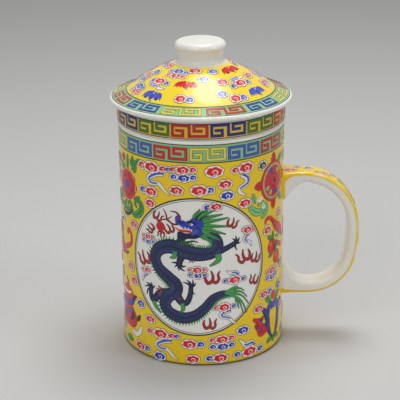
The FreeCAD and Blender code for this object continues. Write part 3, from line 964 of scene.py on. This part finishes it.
def flame(x, y, size, lean, mirror):
    prongs = [
        [(-2.6, 2.2, 0.3), (-2.9, 0.2, 1.0), (-1.6, -2.2, 1.4), (0.2, -1.0, 1.2), (0.4, 1.2, 0.9),
         (-0.4, 3.4, 0.3)],
        [(0.2, -0.8, 0.9), (1.6, -2.2, 1.2), (3.0, -0.6, 1.0), (2.6, 1.4, 0.8), (3.4, 3.0, 0.3)],
    ]
    for prong in prongs:
        path = moved(smooth(prong, steps=3), x, y, size, lean, mirror)
        inkedStroke("mug", "rust", path, 2, lineWidth=0.14)
        layStroke("mug", "red", [(p[0], p[1], p[2] * 0.34) for p in path], 4)


def layDragon():
    spine = smooth(dragon["spine"], steps=5)

    # Crest along the back
    for point, way, width in evenPlaces(spine, 1.15):
        back = Vector((way.y, -way.x))
        tip = point + back * (width / 2 + 1.8) - way * 1.0
        foot = point + back * width * 0.4
        layShape("mug", "moss", [foot - way * 0.95, tip - way * 0.1, foot + way * 0.6][::-1], 2)
        layShape("mug", "leaf", [foot - way * 0.6, tip, foot + way * 0.5][::-1], 3)
    for leg, claw in zip(dragon["legs"], dragon["claws"]):
        inkedStroke("mug", "navy", smooth(leg), 2, level=3)
        palm = claw[0]
        for tip in claw[1:]:
            bend = ((palm[0] + tip[0]) / 2 + (tip[1] - palm[1]) * 0.16,
                    (palm[1] + tip[1]) / 2 - (tip[0] - palm[0]) * 0.16)
            layStroke("mug", "navy", smooth([palm + (1.3,), bend + (1.0,), tip + (0.25,)], steps=3), 3)
        for place, way, width in evenPlaces(smooth(leg), 1.0):
            half = Vector((-way.y, way.x)) * width * 0.25
            layStroke("mug", "steel", [tuple(place - half) + (0.24,), tuple(place + half) + (0.24,)], 5)
    inkedStroke("mug", "navy", spine, 4, level=5)

    # Scales: a short stroke slanting from each side
    for place, way, width in evenPlaces(spine, 0.95):
        side = Vector((-way.y, way.x))
        for hand in (-1, 1):
            inner = place + side * width * 0.06 * hand - way * 0.5
            outer = place + side * width * 0.42 * hand + way * 0.35
            layStroke("mug", "steel", [tuple(inner) + (0.2,), tuple(outer) + (0.3,)], 6)
    for tuft in dragon["tufts"]:
        inkedStroke("mug", "leaf", smooth(tuft), 4, level=6)
    for tip in dragon["plume"]:
        middle = ((12.6 + tip[0]) / 2 + 1.0, (38.0 + tip[1]) / 2 + 2.0, 0.6)
        path = smooth([(11.0, 38.8, 1.2), middle, tip + (0.16,)])
        layStroke("mug", "moss", path, 5, 0.2)
        layStroke("mug", "leaf", path, 6)
    for strand in dragon["mane"]:
        path = smooth(strand)
        layStroke("mug", "moss", path, 6, 0.18)
        layStroke("mug", "leaf", path, 7)
        layStroke("mug", "moss", [(p[0], p[1] - p[2] * 0.12, p[2] * 0.2) for p in path], 8)
    for strand in dragon["beard"]:
        layStroke("mug", "moss", smooth(strand), 6)
    for strand in dragon["whiskers"]:
        layStroke("mug", "rust", smooth(strand), 6)
    for part, colour in (("jaw", "navy"), ("head", "blue")):
        inked("mug", colour, smooth(dragon[part], closed=True, steps=3), level=9 if part == "head" else 8)
    tongue = [(-4.0, 71.2, 1.0), (-8.0, 71.4, 1.1), (-11.0, 71.6, 0.8), (-13.2, 73.0, 0.3)]
    layStroke("mug", "red", smooth(tongue), 10)
    for curve in dragon["face"]:
        layStroke("mug", "navy", smooth(curve), 10)
    for x, y in dragon["teeth"]:
        layShape("mug", "white", [(x - 0.4, y + 0.5), (x, y - 0.7), (x + 0.4, y + 0.5)], 11)
    leaf((-1.4, 72.6), (-5.4, 69.6), 2.0, "sky", 10)
    layShape("mug", "crimson", oval(-11.9, 77.7, 1.3, 1.0, 10), 10)
    inked("mug", "white", oval(-5.2, 74.9, 1.7, 1.1), level=11)
    layShape("mug", "ink", oval(-5.5, 74.9, 0.7, 0.8, 8), 12)
    x, y, size = dragon["pearl"]
    inked("mug", "red", oval(x, y, size, size, 20), level=4)
    layStroke("mug", "crimson", swirl(x, y, size * 0.3, 1.1, 0.6, squash=1.0), 6)
    for place in flames:
        flame(*place)


# Emblems of the two side columns: a peony over a wrapped vase, and a wheel over fruit and a lotus

# A pointed leaf with a darker rib.
def leaf(root, tip, width, colour="leaf", level=1):
    root, tip = Vector(root), Vector(tip)
    middle = (root + tip) / 2
    side = Vector((root.y - tip.y, tip.x - root.x)).normalized() * width / 2
    outline = smooth([root, middle - side * 0.95, tip, middle + side], closed=True, steps=4)
    layShape("mug", "ink", outline, level, 0.2)
    layShape("mug", colour, outline, level + 1)
    end = tip * 0.85 + root * 0.15
    layStroke("mug", "moss", [tuple(root) + (0.35,), tuple(middle) + (0.4,), tuple(end) + (0.15,)], level + 2)


# A leaf that ends in a curl.
def scroll(x, y, size, colour="leaf", lean=0, mirror=False, level=1, rib="moss"):
    curl = [(-4.4, -2.6, 0.8), (-2.6, -3.2, 2.4), (0.4, -2.6, 3.2), (2.8, -0.4, 3.0), (2.6, 2.4, 2.2),
            (0.2, 3.2, 1.6), (-1.2, 1.6, 1.2), (-0.2, 0.4, 0.8)]
    path = moved(smooth(curl), x, y, size, lean, mirror)
    inkedStroke("mug", colour, path, level)
    layStroke("mug", rib, [(p[0], p[1], p[2] * 0.18) for p in path], level + 2)


# Three rounds of petals about a blue heart.
def peony(x, y, radius):
    rounds = ((9, 0.72, 0.62, "red"), (7, 0.44, 0.54, "crimson"), (5, 0.34, 0.44, "red"))
    level = 3
    for petals, reach, size, colour in rounds:
        for petal in range(petals):
            angle = math.tau * (petal + 0.3 * level) / petals
            centre = (x + math.cos(angle) * radius * reach, y + math.sin(angle) * radius * reach)
            shape = scallop(*centre, radius * size, radius * size * 0.92, 5, 0.08, 16)
            layShape("mug", "ink" if level == 3 else "crimson", shape, level, 0.2)
            layShape("mug", colour, shape, level + 1)
            if level == 3:
                edge = [(x + math.cos(angle + turn) * radius * 0.96,
                         y + math.sin(angle + turn) * radius * 0.96, 0.55)
                        for turn in (-0.2, 0, 0.2)]
                layStroke("mug", "blush", edge, level + 2)
            inner = [(centre[0] - math.cos(angle) * 0.9 * part,
                      centre[1] - math.sin(angle) * 0.9 * part, 0.5)
                     for part in (-1, 0.2, 1.4)]
            layStroke("mug", "crimson" if colour == "red" else "red", inner, level + 2)
        level += 2
    layShape("mug", "blue", scallop(x, y, radius * 0.56, radius * 0.5, 6, 0.14, 18), level + 1)
    layShape("mug", "sky", oval(x + 0.2, y + 0.3, 1.8, 1.2, 8), level + 2)
    layShape("mug", "straw", oval(x - 0.6, y + radius * 1.02, 2.0, 1.4, 8), 2)


# A ribboned wheel: red and green rims, red spokes with coloured wedges, and a point at each quarter.
def wheel(x, y, radius):
    for quarter in range(4):
        tip = [(-2.0, radius * 0.9), (-2.2, radius + 1.6), (-1.0, radius + 3.6), (0, radius + 4.2),
               (1.0, radius + 3.6), (2.2, radius + 1.6), (2.0, radius * 0.9)]
        point = [Vector(p) for p in moved(tip, x, y, 1.0, 90 * quarter)]
        inked("mug", "red", point, ink=0, level=1)
        rib = moved([(0, radius, 0.7), (0, radius + 3.0, 0.5)], x, y, 1, 90 * quarter)
        layStroke("mug", "crimson", rib, 3)
    for size, colour, level in ((radius, "red", 3), (radius * 0.87, "mint", 5), (radius * 0.78, "red", 6)):
        rim = oval(x, y, size * 2, size * 2, 36)
        if colour == "red" and level == 3:
            layShape("mug", "ink", rim, 2, inkWidth)
        layShape("mug", colour, rim, level)
    for spoke in range(16):
        angle = math.tau * (spoke + 0.5) / 16
        rib = [(x + math.cos(angle) * radius * part, y + math.sin(angle) * radius * part, 0.45)
               for part in (0.3, 0.76)]
        layStroke("mug", "crimson", rib, 7)
    for bearing, colour, size in ((112, "blue", 3.2), (292, "blue", 3.2), (50, "mint", 2.6),
                                  (20, "orange", 1.8), (205, "mint", 2.6), (240, "mint", 2.4),
                                  (180, "red", 2.2), (330, "red", 2.6)):
        angle = math.radians(bearing)
        spot = (x + math.cos(angle) * radius * 0.58, y + math.sin(angle) * radius * 0.58)
        layShape("mug", colour, oval(*spot, size * 1.2, size * 0.8, 10, bearing), 8)
    inked("mug", "red", oval(x + 0.6, y + 0.2, radius * 0.6, radius * 0.6, 18), ink=8, level=9)
    layShape("mug", "navy", oval(x + 0.8, y + 0.3, 3.0, 2.2, 12, -20), 10)
    layShape("mug", "blue", oval(x + 0.8, y + 0.3, 1.7, 1.2, 10, -20), 11)


# A ribbon with an ink edge.
def ribbon(colour, points, level=3, edge=0.2):
    path = smooth(points)
    layStroke("mug", "ink", path, level, edge)
    layStroke("mug", colour, path, level + 1)


def fruit(x, y, size):
    inked("mug", "red", scallop(x, y, size, size * 1.04, 2, 0.05, 20), ink=3, level=4)
    layShape("mug", "orange", oval(x - size * 0.18, y + size * 0.2, size * 0.34, size * 0.22, 10, 30), 5)
    layStroke("mug", "crimson", smooth([(x + 0.2, y + size * 0.46, 0.4), (x + size * 0.2, y, 0.5),
                                        (x, y - size * 0.4, 0.3)]), 5)


# A vase wrapped in brocade, between its foot and mouth.
def wrappedVase(x, y):
    half = [(0, -9.8), (4.6, -9.6), (7.2, -8.4), (8.8, -5.6), (8.4, -2.0), (6.0, 0.6), (4.8, 3.0),
            (5.8, 5.4), (6.4, 8.0), (4.6, 10.6), (2.2, 11.8), (0, 12.0)]
    outline = smooth(moved(half, x, y) + moved(half[-2:0:-1], x, y, mirror=True), closed=True, steps=3)
    inked("mug", "red", outline, ink=1, level=2)
    ribbon("blue", [(x - 6.4, y + 3.6, 2.0), (x, y + 3.0, 2.8), (x + 6.2, y + 4.4, 2.0)], 3)
    ribbon("navy", [(x + 5.0, y + 4.0, 2.0), (x + 7.4, y + 7.6, 1.8), (x + 9.2, y + 8.6, 0.8)], 3)
    ribbon("white", [(x - 5.4, y + 8.8, 1.2), (x - 0.8, y + 8.2, 1.6), (x + 4.4, y + 9.4, 1.2)], 3)
    ribbon("sky", [(x - 6.2, y - 1.2, 1.0), (x, y - 2.0, 1.6), (x + 4.8, y - 0.6, 1.2)], 3)
    ribbon("navy", [(x + 4.6, y - 0.4, 2.2), (x + 5.4, y - 3.4, 2.4), (x + 2.6, y - 6.0, 1.0)], 3)
    ribbon("navy", [(x - 5.6, y - 6.2, 2.6), (x - 3.6, y - 3.8, 2.0), (x - 2.0, y - 3.0, 0.8)], 3)
    for fold in range(5):
        start = x - 6 + fold * 3.0
        layStroke("mug", "crimson", smooth([(start, y - 3.6, 0.5), (start + 0.8, y - 6.4, 0.7),
                                            (start + 0.2, y - 9.0, 0.4)]), 3)
    ribbon("red", [(x - 1.0, y + 11.4, 2.0), (x + 0.6, y + 13.8, 1.6), (x - 1.6, y + 16.2, 0.6)], 1)
    ribbon("white", [(x + 4.6, y - 11.4, 2.4), (x + 9.0, y - 11.8, 2.6), (x + 12.0, y - 8.8, 2.2),
                     (x + 12.8, y - 6.4, 1.0)], 1)
    ribbon("white", [(x - 4.6, y - 11.4, 2.4), (x - 9.0, y - 11.8, 2.6), (x - 12.0, y - 8.8, 2.2),
                     (x - 12.8, y - 6.4, 1.0)], 1)
    leaf((x + 9.4, y - 4.6), (x + 12.0, y - 0.6), 2.2, "navy", 2)
    leaf((x - 2.6, y - 16.8), (x + 5.0, y - 16.6), 3.8, "leaf", 1)


# A blue scrolling flower on green leaves.
def lotus(x, y):
    for mirror in (False, True):
        outer = moved([(-9.6, 8.6, 1.4), (-7.4, 6.4, 2.8), (-5.4, 1.8, 3.2), (-4.6, -3.4, 2.8),
                       (-2.6, -7.6, 1.6), (-0.6, -9.4, 0.8)], x, y, mirror=mirror)
        inner = moved([(-5.0, 3.6, 2.2), (-4.2, 7.6, 2.8), (-1.8, 9.0, 2.4), (-0.6, 7.4, 1.6),
                       (-1.8, 6.2, 0.8)], x, y, mirror=mirror)
        ribbon("navy", outer, 2)
        layStroke("mug", "blue", [(p[0], p[1], p[2] * 0.45) for p in smooth(outer)], 4)
        ribbon("blue", inner, 4)
    leaf((x - 2.4, y + 10.0), (x - 7.6, y + 15.0), 3.4)
    leaf((x + 2.4, y + 10.0), (x + 7.6, y + 15.0), 3.4)
    inked("mug", "red", scallop(x, y + 13.2, 4.0, 4.4, 5, 0.1, 16), ink=3, level=4)
    for lean in (-1, 0, 1):
        leaf((x + lean * 1.4, y - 9.6), (x + lean * 6.0, y - 11.0 - (1 - abs(lean)) * 1.4), 2.8, "leaf", 1)


# A red bow with blue eyes.
def knot(x, y):
    ribbon("red", [(-5.0 + x, 5.0 + y, 1.0), (-2.6 + x, 3.4 + y, 2.4), (0.6 + x, 3.0 + y, 2.2),
                   (1.6 + x, 4.6 + y, 1.2)], 2)
    ribbon("red", [(-3.6 + x, 1.6 + y, 1.6), (-1.2 + x, -1.6 + y, 3.0), (0.4 + x, -4.6 + y, 2.8),
                   (5.6 + x, -3.4 + y, 1.2)], 2)
    ribbon("red", [(-1.8 + x, 3.4 + y, 2.0), (0.4 + x, 0.4 + y, 2.4), (3.4 + x, -3.2 + y, 2.4)], 4)
    for eyeX, eyeY in ((-2.4, 0.0), (0.2, -3.0), (2.8, -0.4), (0.4, 3.0)):
        inked("mug", "blue", oval(x + eyeX, y + eyeY, 1.9, 1.5, 10, 30), ink=6, level=7)


# A double gourd tied with a ribbon that curls out on both sides.
def gourd(x, y):
    for mirror in (False, True):
        outer = [(0.0, 3.0, 1.4), (5.0, -2.2, 2.4), (10.4, -0.8, 2.4), (14.6, 2.4, 1.8),
                 (14.4, 7.0, 1.7), (11.8, 8.4, 1.9), (10.8, 6.2, 1.6)]
        inner = [(3.6, -5.4, 1.2), (8.4, -5.0, 1.6), (11.4, -3.8, 0.4)]
        ribbon("red", moved(outer, x, y, mirror=mirror), 1)
        ribbon("crimson", moved(inner, x, y, mirror=mirror), 1)
    for rise, width, height in ((-2.6, 10.6, 9.4), (6.2, 7.0, 6.6)):
        bulb = oval(x, y + rise, width, height, 22)
        layShape("mug", "ink", bulb, 3, inkWidth)
        layShape("mug", "red", bulb, 4)
        for side in (-0.28, 0.0, 0.28):
            rib = [(x + side * width * math.cos(turn), y + rise + math.sin(turn) * height * 0.4, 0.4)
                   for turn in (-1.0, -0.4, 0.4, 1.0)]
            layStroke("mug", "crimson", rib, 5)
    ribbon("straw", [(x - 3.0, y + 2.4, 0.9), (x, y + 1.8, 1.3), (x + 3.0, y + 2.4, 0.9)], 6)
    ribbon("leaf", [(x, y + 9.0, 1.0), (x + 0.6, y + 11.0, 0.8), (x + 2.4, y + 11.8, 0.3)], 3)
    ribbon("white", [(x - 5.0, y + 10.2, 0.8), (x - 0.4, y + 11.6, 3.0), (x + 5.2, y + 12.4, 3.6),
                     (x + 7.6, y + 12.0, 1.8)], 1)
    layStroke("mug", "blue", smooth([(x - 1.4, y + 11.2, 0.6), (x + 2.6, y + 11.6, 1.6),
                                     (x + 5.6, y + 12.2, 1.8), (x + 6.6, y + 12.0, 0.8)]), 3)


def leftColumn():
    for root, tip, width in (((-45, 95), (-52, 98), 4.2), ((-44, 96), (-43.4, 104), 2.8),
                             ((-49, 80), (-54, 84), 3.4), ((-46, 80), (-50, 74), 3.0),
                             ((-40, 97), (-36.4, 99.2), 2.2), ((-39, 99), (-38.8, 104.2), 2.2),
                             ((-37.6, 100), (-33.2, 103.8), 2.0), ((-38, 82), (-33.6, 84.4), 2.2)):
        leaf(root, tip, width)
    scroll(-38.6, 99.6, 0.7, lean=70)
    scroll(-36.0, 78.4, 1.15, lean=10)
    scroll(-43.6, 77.4, 0.85, lean=-20)
    scroll(-53.6, 79.6, 0.9, mirror=True)
    ribbon("navy", [(-50.4, 74.0, 0.7), (-47.4, 72.6, 1.4), (-43.4, 73.4, 1.2), (-39.4, 76.6, 0.5)], 2)
    inked("mug", "crimson", scallop(-48.4, 101.4, 3.4, 3.2, 5, 0.1, 14), ink=3, level=4)
    inked("mug", "blue", scallop(-55.4, 99.4, 5.0, 3.6, 5, 0.1, 14), ink=3, level=4)
    peony(-44.4, 88.4, 8.2)
    gourd(-56.6, 56.2)
    wrappedVase(-47.8, 21.8)


def rightColumn():
    for root, tip, width in (((46, 98), (51, 102), 3.2), ((47, 82), (52, 78), 3.6)):
        leaf(root, tip, width)
    wheel(41.6, 90.2, 10.2)
    scroll(29.4, 79.8, 1.1, "mint", lean=-60, rib="leaf")
    scroll(33.6, 77.4, 0.8, "mint", lean=30, rib="leaf")
    leaf((27.6, 82.0), (26.0, 87.4), 2.6, "mint")
    layStroke("mug", "white", swirl(30.6, 83.8, 1.6, 1.0, 1.4, 180, 1.0), 4)
    layStroke("mug", "white", swirl(33.6, 79.4, 1.5, 1.0, 1.2, 90, 1.0), 4)
    ribbon("red", [(34.8, 69.6, 0.9), (35.4, 71.6, 1.6), (38.4, 71.8, 1.8), (41.6, 69.2, 2.4),
                   (45.0, 65.6, 4.6), (49.6, 63.0, 4.4), (54.0, 58.0, 2.0)], 1)
    layStroke("mug", "crimson", smooth([(38.4, 71.4, 0.4), (42.0, 68.2, 0.6), (46.0, 64.2, 1.0),
                                        (50.6, 61.0, 0.5)]), 3)
    leaf((41.0, 59.4), (36.6, 62.6), 2.4)
    leaf((41.2, 59.0), (41.6, 64.0), 2.2)
    leaf((44.0, 60.6), (49.6, 59.6), 2.4, "mint")
    leaf((42.0, 52.4), (37.4, 51.4), 2.2)
    fruit(40.6, 56.2, 7.0)
    leaf((42.6, 53.0), (45.4, 58.0), 2.8, "moss", 6)
    ribbon("red", [(45.0, 57.4, 0.8), (48.4, 55.2, 2.4), (52.0, 53.6, 1.4)], 3)
    fruit(45.4, 49.4, 6.6)
    leaf((47.4, 46.4), (50.4, 43.6), 2.6)
    knot(31.6, 16.2)
    lotus(42.2, 16.4)


# The lid's bats and clouds: each is drawn upright, with its top towards the knob

# A flying bat: eared head, scalloped wings with a rib in each, and a curled tail.
def bat(colour, shade, span):
    size = span / 13
    half = [(0, 2.2), (0.5, 2.1), (1.0, 3.2), (1.3, 1.7), (1.1, 0.8), (1.8, 1.5), (3.0, 2.5), (4.6, 2.3),
            (5.9, 1.0), (6.6, -1.7), (5.4, -0.5), (4.7, -2.0), (3.7, -0.5), (2.9, -2.1), (2.0, -0.7),
            (1.3, -1.9), (0.6, -2.4)]
    outline = moved(half[::-1], 0, 0, size) + moved(half[1:], 0, 0, size, mirror=True)
    layShape("dome", "ink", outline, 1, 0.14)
    layShape("dome", colour, outline, 2)
    for mirror in (False, True):
        rib = [(0.9, 0.9, 0.34), (2.8, 1.8, 0.4), (5.0, 1.2, 0.3), (6.1, -0.9, 0.16)]
        finger = [(3.2, 1.7, 0.26), (3.8, 0.6, 0.2), (3.7, -0.3, 0.16)]
        for bone in (rib, finger):
            layStroke("dome", shade, smooth(moved(bone, 0, 0, size, mirror=mirror)), 3)
    layShape("dome", shade, oval(0, -0.5 * size, 1.3 * size, 2.8 * size, 10), 3)
    layShape("dome", "white", oval(0, 1.3 * size, 0.9 * size, 0.6 * size, 8), 4)
    tail = [(0, -2.0, 0.6), (0.6, -3.2, 0.6), (2.0, -3.1, 0.2)]
    layStroke("dome", shade, smooth(moved(tail, 0, 0, size)), 0)


def lidBat(colour, shade, span):
    return lambda: bat(colour, shade, span)


def lidCloud(lobes, tail=None):
    return lambda: cloud("dome", lobes, tail)


# Each motif as (bearing in degrees, distance from the axis, what draws it)

lidMotifs = [
    (-10, 15.6, lidCloud(single(0, 0, "red", 6.8))),
    (21, 16.6, lidCloud(single(0, 0, "sky", 5.2))),
    (55, 17.4, lidBat("red", "crimson", 12.5)),
    (-37, 18.6, lidCloud(double(0, 1.6, "sky", "red", 0.85))),
    (-16, 25.0, lidBat("red", "crimson", 11.5)),
    (4, 21.4, lidCloud(single(0, 0, "sky", 5.6))),
    (-50, 25.2, lidCloud([(-4.6, -0.2, 4.2, "blue"), (4.6, 0, 4.2, "blue"), (0, 0, 7.2, "red")],
                         [(-5.6, -1.6, 1.2), (-3.4, -3.4, 1.5), (0.2, -3.4, 1.6), (3.6, -4.2, 1.3),
                          (6.6, -3.2, 0.3)])),
    (-75, 21.8, lidCloud(single(0, 0, "blue", 5.6))),
    (-72, 15.8, lidCloud(single(0, 0, "red", 5.2))),
    (-44, 33.0, lidBat("sky", "blue", 12.0)),
    (-69, 32.4, lidCloud(double(0, 1.4, "blue", "red", 0.78))),
    (-17, 32.8, lidCloud(pair(0, 0, "red", 4.4, "sky", 5.8))),
    (29, 33.6, lidCloud(pair(0, 0, "red", 4.4, "sky", 6.0))),
    (19, 30.6, lidCloud(single(0, 0, "sky", 5.4))),
    (25, 24.0, lidCloud(single(0, 0, "red", 6.0))),
    (46, 26.4, lidCloud([(-5.2, -0.4, 4.2, "blue"), (5.0, -0.2, 4.0, "blue"), (0, 0, 7.4, "red")],
                        [(-2.8, 1.8, 1.2), (-3.4, 3.4, 1.5), (0.0, 3.9, 1.6), (3.0, 3.4, 1.3),
                         (5.8, 4.4, 0.3)])),
    (55, 32.6, lidBat("sky", "blue", 11.5)),
    (70, 24.4, lidCloud(single(0, 0, "red", 6.2))),
    (77, 31.6, lidCloud(pair(0, 0, "red", 4.4, "blue", 6.0))),
    (91, 16.4, lidCloud(single(0, 0, "blue", 5.4))),
    (96, 26.6, lidCloud(double(0, 1.4, "red", "blue", 0.8))),
]


# Everything painted on the mug, the lid and the handle

for turn in (0, backTurn):
    setBrush(turn, 0)
    for lobes, tail in mugClouds + medallionClouds:
        cloud("mug", lobes, tail)
    layDragon()
    leftColumn()
    rightColumn()
setBrush()
for lobes, tail in sideClouds:
    cloud("mug", lobes, tail)
print("mug: clouds, two dragons and the emblems")

domeFall = 0.87      # a motif's height as seen from above
for half in (0, 180):
    for azimuth, out, draw in lidMotifs:
        bearing = math.radians(azimuth + half)
        setBrush(math.sin(bearing) * out, -math.cos(bearing) * out, azimuth + half, 1.0, domeFall)
        draw()
setBrush()
print("lid:", 2 * len(lidMotifs), "bats and clouds")


# The yellow skin, a little wider where the strap flares at the wall.
def handleGround():
    path = []
    for step in range(61):
        along = handle["length"] * step / 60
        away = max(0, min(along, handle["length"] - along) - handle["sink"])
        flare = flareAt(away)
        edge = handle["round"] + flare * handle["flareRound"]
        half = handle["width"] / 2 + flare - edge + edge * math.pi / 2 + handle["overlap"]
        path.append((along, 0, 2 * half))
    layStroke("handle", "yellow", path, 0)


handleGround()
handleSpots = 13
step = handle["length"] / handleSpots
for spot in range(handleSpots):
    x = step * (spot + 0.5)
    colour = ("red", "sky", "red", "leaf")[spot % 4]
    cloud("handle", single(x, (-1.6, 1.5)[spot % 2], colour, 6.2 if colour == "red" else 4.8))
    cloud("handle", single(x + step * 0.45, (3.0, -3.0)[spot % 2], ("sky", "red", "leaf")[spot % 3], 3.2))


# Finished paint: cut to follow the curve, given a little thickness, wrapped on and coloured

def cutSheet(bm, axis, pitch):
    if not pitch:
        return
    along = [vert.co[axis] for vert in bm.verts]
    line = math.floor(min(along) / pitch) + 1
    normal = Vector((axis == 0, axis == 1, 0))
    while line * pitch < max(along):
        bmesh.ops.bisect_plane(bm, geom=bm.verts[:] + bm.edges[:] + bm.faces[:], dist=1e-5,
                               plane_co=normal * line * pitch, plane_no=normal)
        line += 1


def finishSheet(carrier, colour, bm):
    settings = carriers[carrier]
    bmesh.ops.triangulate(bm, faces=bm.faces[:])
    for axis in (0, 1):
        cutSheet(bm, axis, settings["cut"][axis])
    for face in bm.faces:
        if face.normal.z < 0:
            face.normal_flip()
    bmesh.ops.solidify(bm, geom=bm.faces[:], thickness=sheetThickness)
    normals = []
    for vert in bm.verts:
        vert.co, normal = settings["place"](*vert.co)
        normals.append(normal)
    mesh = bpy.data.meshes.new(carrier + "_" + colour)
    bm.to_mesh(mesh)
    bm.free()
    mesh.shade_smooth()
    mesh.normals_split_custom_set_from_vertices(normals)
    mesh.materials.append(enamels[colour])
    piece = bpy.data.objects.new(carrier + "_" + colour + "_enamel", mesh)
    bpy.context.scene.collection.objects.link(piece)
    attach(piece, settings["body"])
    return len(mesh.polygons)


enamels = {colour: enamel(colour) for colour in sorted({colour for _, colour in sheets})}
faceCount = sum(finishSheet(carrier, colour, bm) for (carrier, colour), bm in sorted(sheets.items()))
print("enamel:", len(sheets), "pieces,", faceCount, "faces")


# Stage, light and camera

def aim(thing, target):
    thing.rotation_euler = (Vector(target) - thing.location).to_track_quat("-Z", "Y").to_euler()


def areaLamp(name, place, target, size, watts):
    lamp = bpy.data.lights.new(name, "AREA")
    lamp.shape = "DISK"
    lamp.size = size
    lamp.energy = watts
    thing = bpy.data.objects.new(name, lamp)
    bpy.context.scene.collection.objects.link(thing)
    thing.location = place
    aim(thing, target)


studio = {
    "fill": 0.34,           # the world's light on the object
    "backdrop": 0.62,       # the world as it is seen, past the floor
    "floor": 0.60,
}
lamps = {
    "overhead": {"place": (0.07, 0.14, 0.82), "target": (0, 0, 0.08), "size": 0.30, "watts": 1.5},
    "overheadWide": {"place": (0.07, 0.14, 0.84), "target": (0, 0, 0.08), "size": 0.50, "watts": 2.0},
    "front": {"place": (-0.55, -0.95, 0.85), "target": (0, 0, 0.07), "size": 0.9, "watts": 4.3},
    "side": {"place": (0.9, -0.45, 0.55), "target": (0, 0, 0.07), "size": 0.5, "watts": 1.8},
}
for name, settings in lamps.items():
    areaLamp(name, **settings)


def studioWorld():
    world = bpy.data.worlds.new("studio")
    world.use_nodes = True
    tree = world.node_tree
    background = tree.nodes["Background"]
    background.inputs["Color"].default_value = (0.95, 0.95, 0.94, 1)
    rays = tree.nodes.new("ShaderNodeLightPath")
    seen = mathNode(tree, "MAXIMUM", rays.outputs["Is Camera Ray"], rays.outputs["Is Glossy Ray"])
    seen = mathNode(tree, "MAXIMUM", seen, rays.outputs["Is Transmission Ray"])
    strength = mathNode(tree, "MULTIPLY_ADD", seen, studio["backdrop"] - studio["fill"], studio["fill"])
    tree.links.new(strength, background.inputs["Strength"])
    bpy.context.scene.world = world


def studioFloor():
    mesh = bpy.data.meshes.new("floor")
    bm = bmesh.new()
    bmesh.ops.create_grid(bm, x_segments=1, y_segments=1, size=3.0)
    bm.to_mesh(mesh)
    bm.free()
    floor = bpy.data.objects.new("floor", mesh)
    bpy.context.scene.collection.objects.link(floor)
    material, tree, shader, place = startMaterial("floorPaper")
    shader.inputs["Base Color"].default_value = (studio["floor"], studio["floor"], studio["floor"] * 0.99,
                                                 1)
    shader.inputs["Roughness"].default_value = 0.9
    mesh.materials.append(material)


studioWorld()
studioFloor()

view = {"place": (0.0, -0.63757, 0.30027), "pitch": 19.64, "yaw": -0.09, "roll": -0.66, "lens": 120.5}
lens = bpy.data.cameras.new("camera")
lens.lens = view["lens"]
lens.sensor_width = 36
camera = bpy.data.objects.new("camera", lens)
bpy.context.scene.collection.objects.link(camera)
turn = Matrix.Rotation(math.radians(-view["yaw"]), 4, "Z")
turn = turn @ Matrix.Rotation(math.radians(90 - view["pitch"]), 4, "X")
turn = turn @ Matrix.Rotation(math.radians(view["roll"]), 4, "Z")
camera.matrix_world = Matrix.Translation(view["place"]) @ turn
bpy.context.scene.camera = camera
print("stage:", len(lamps), "lamps, floor and camera")

bpy.context.scene.view_settings.view_transform = "Standard"
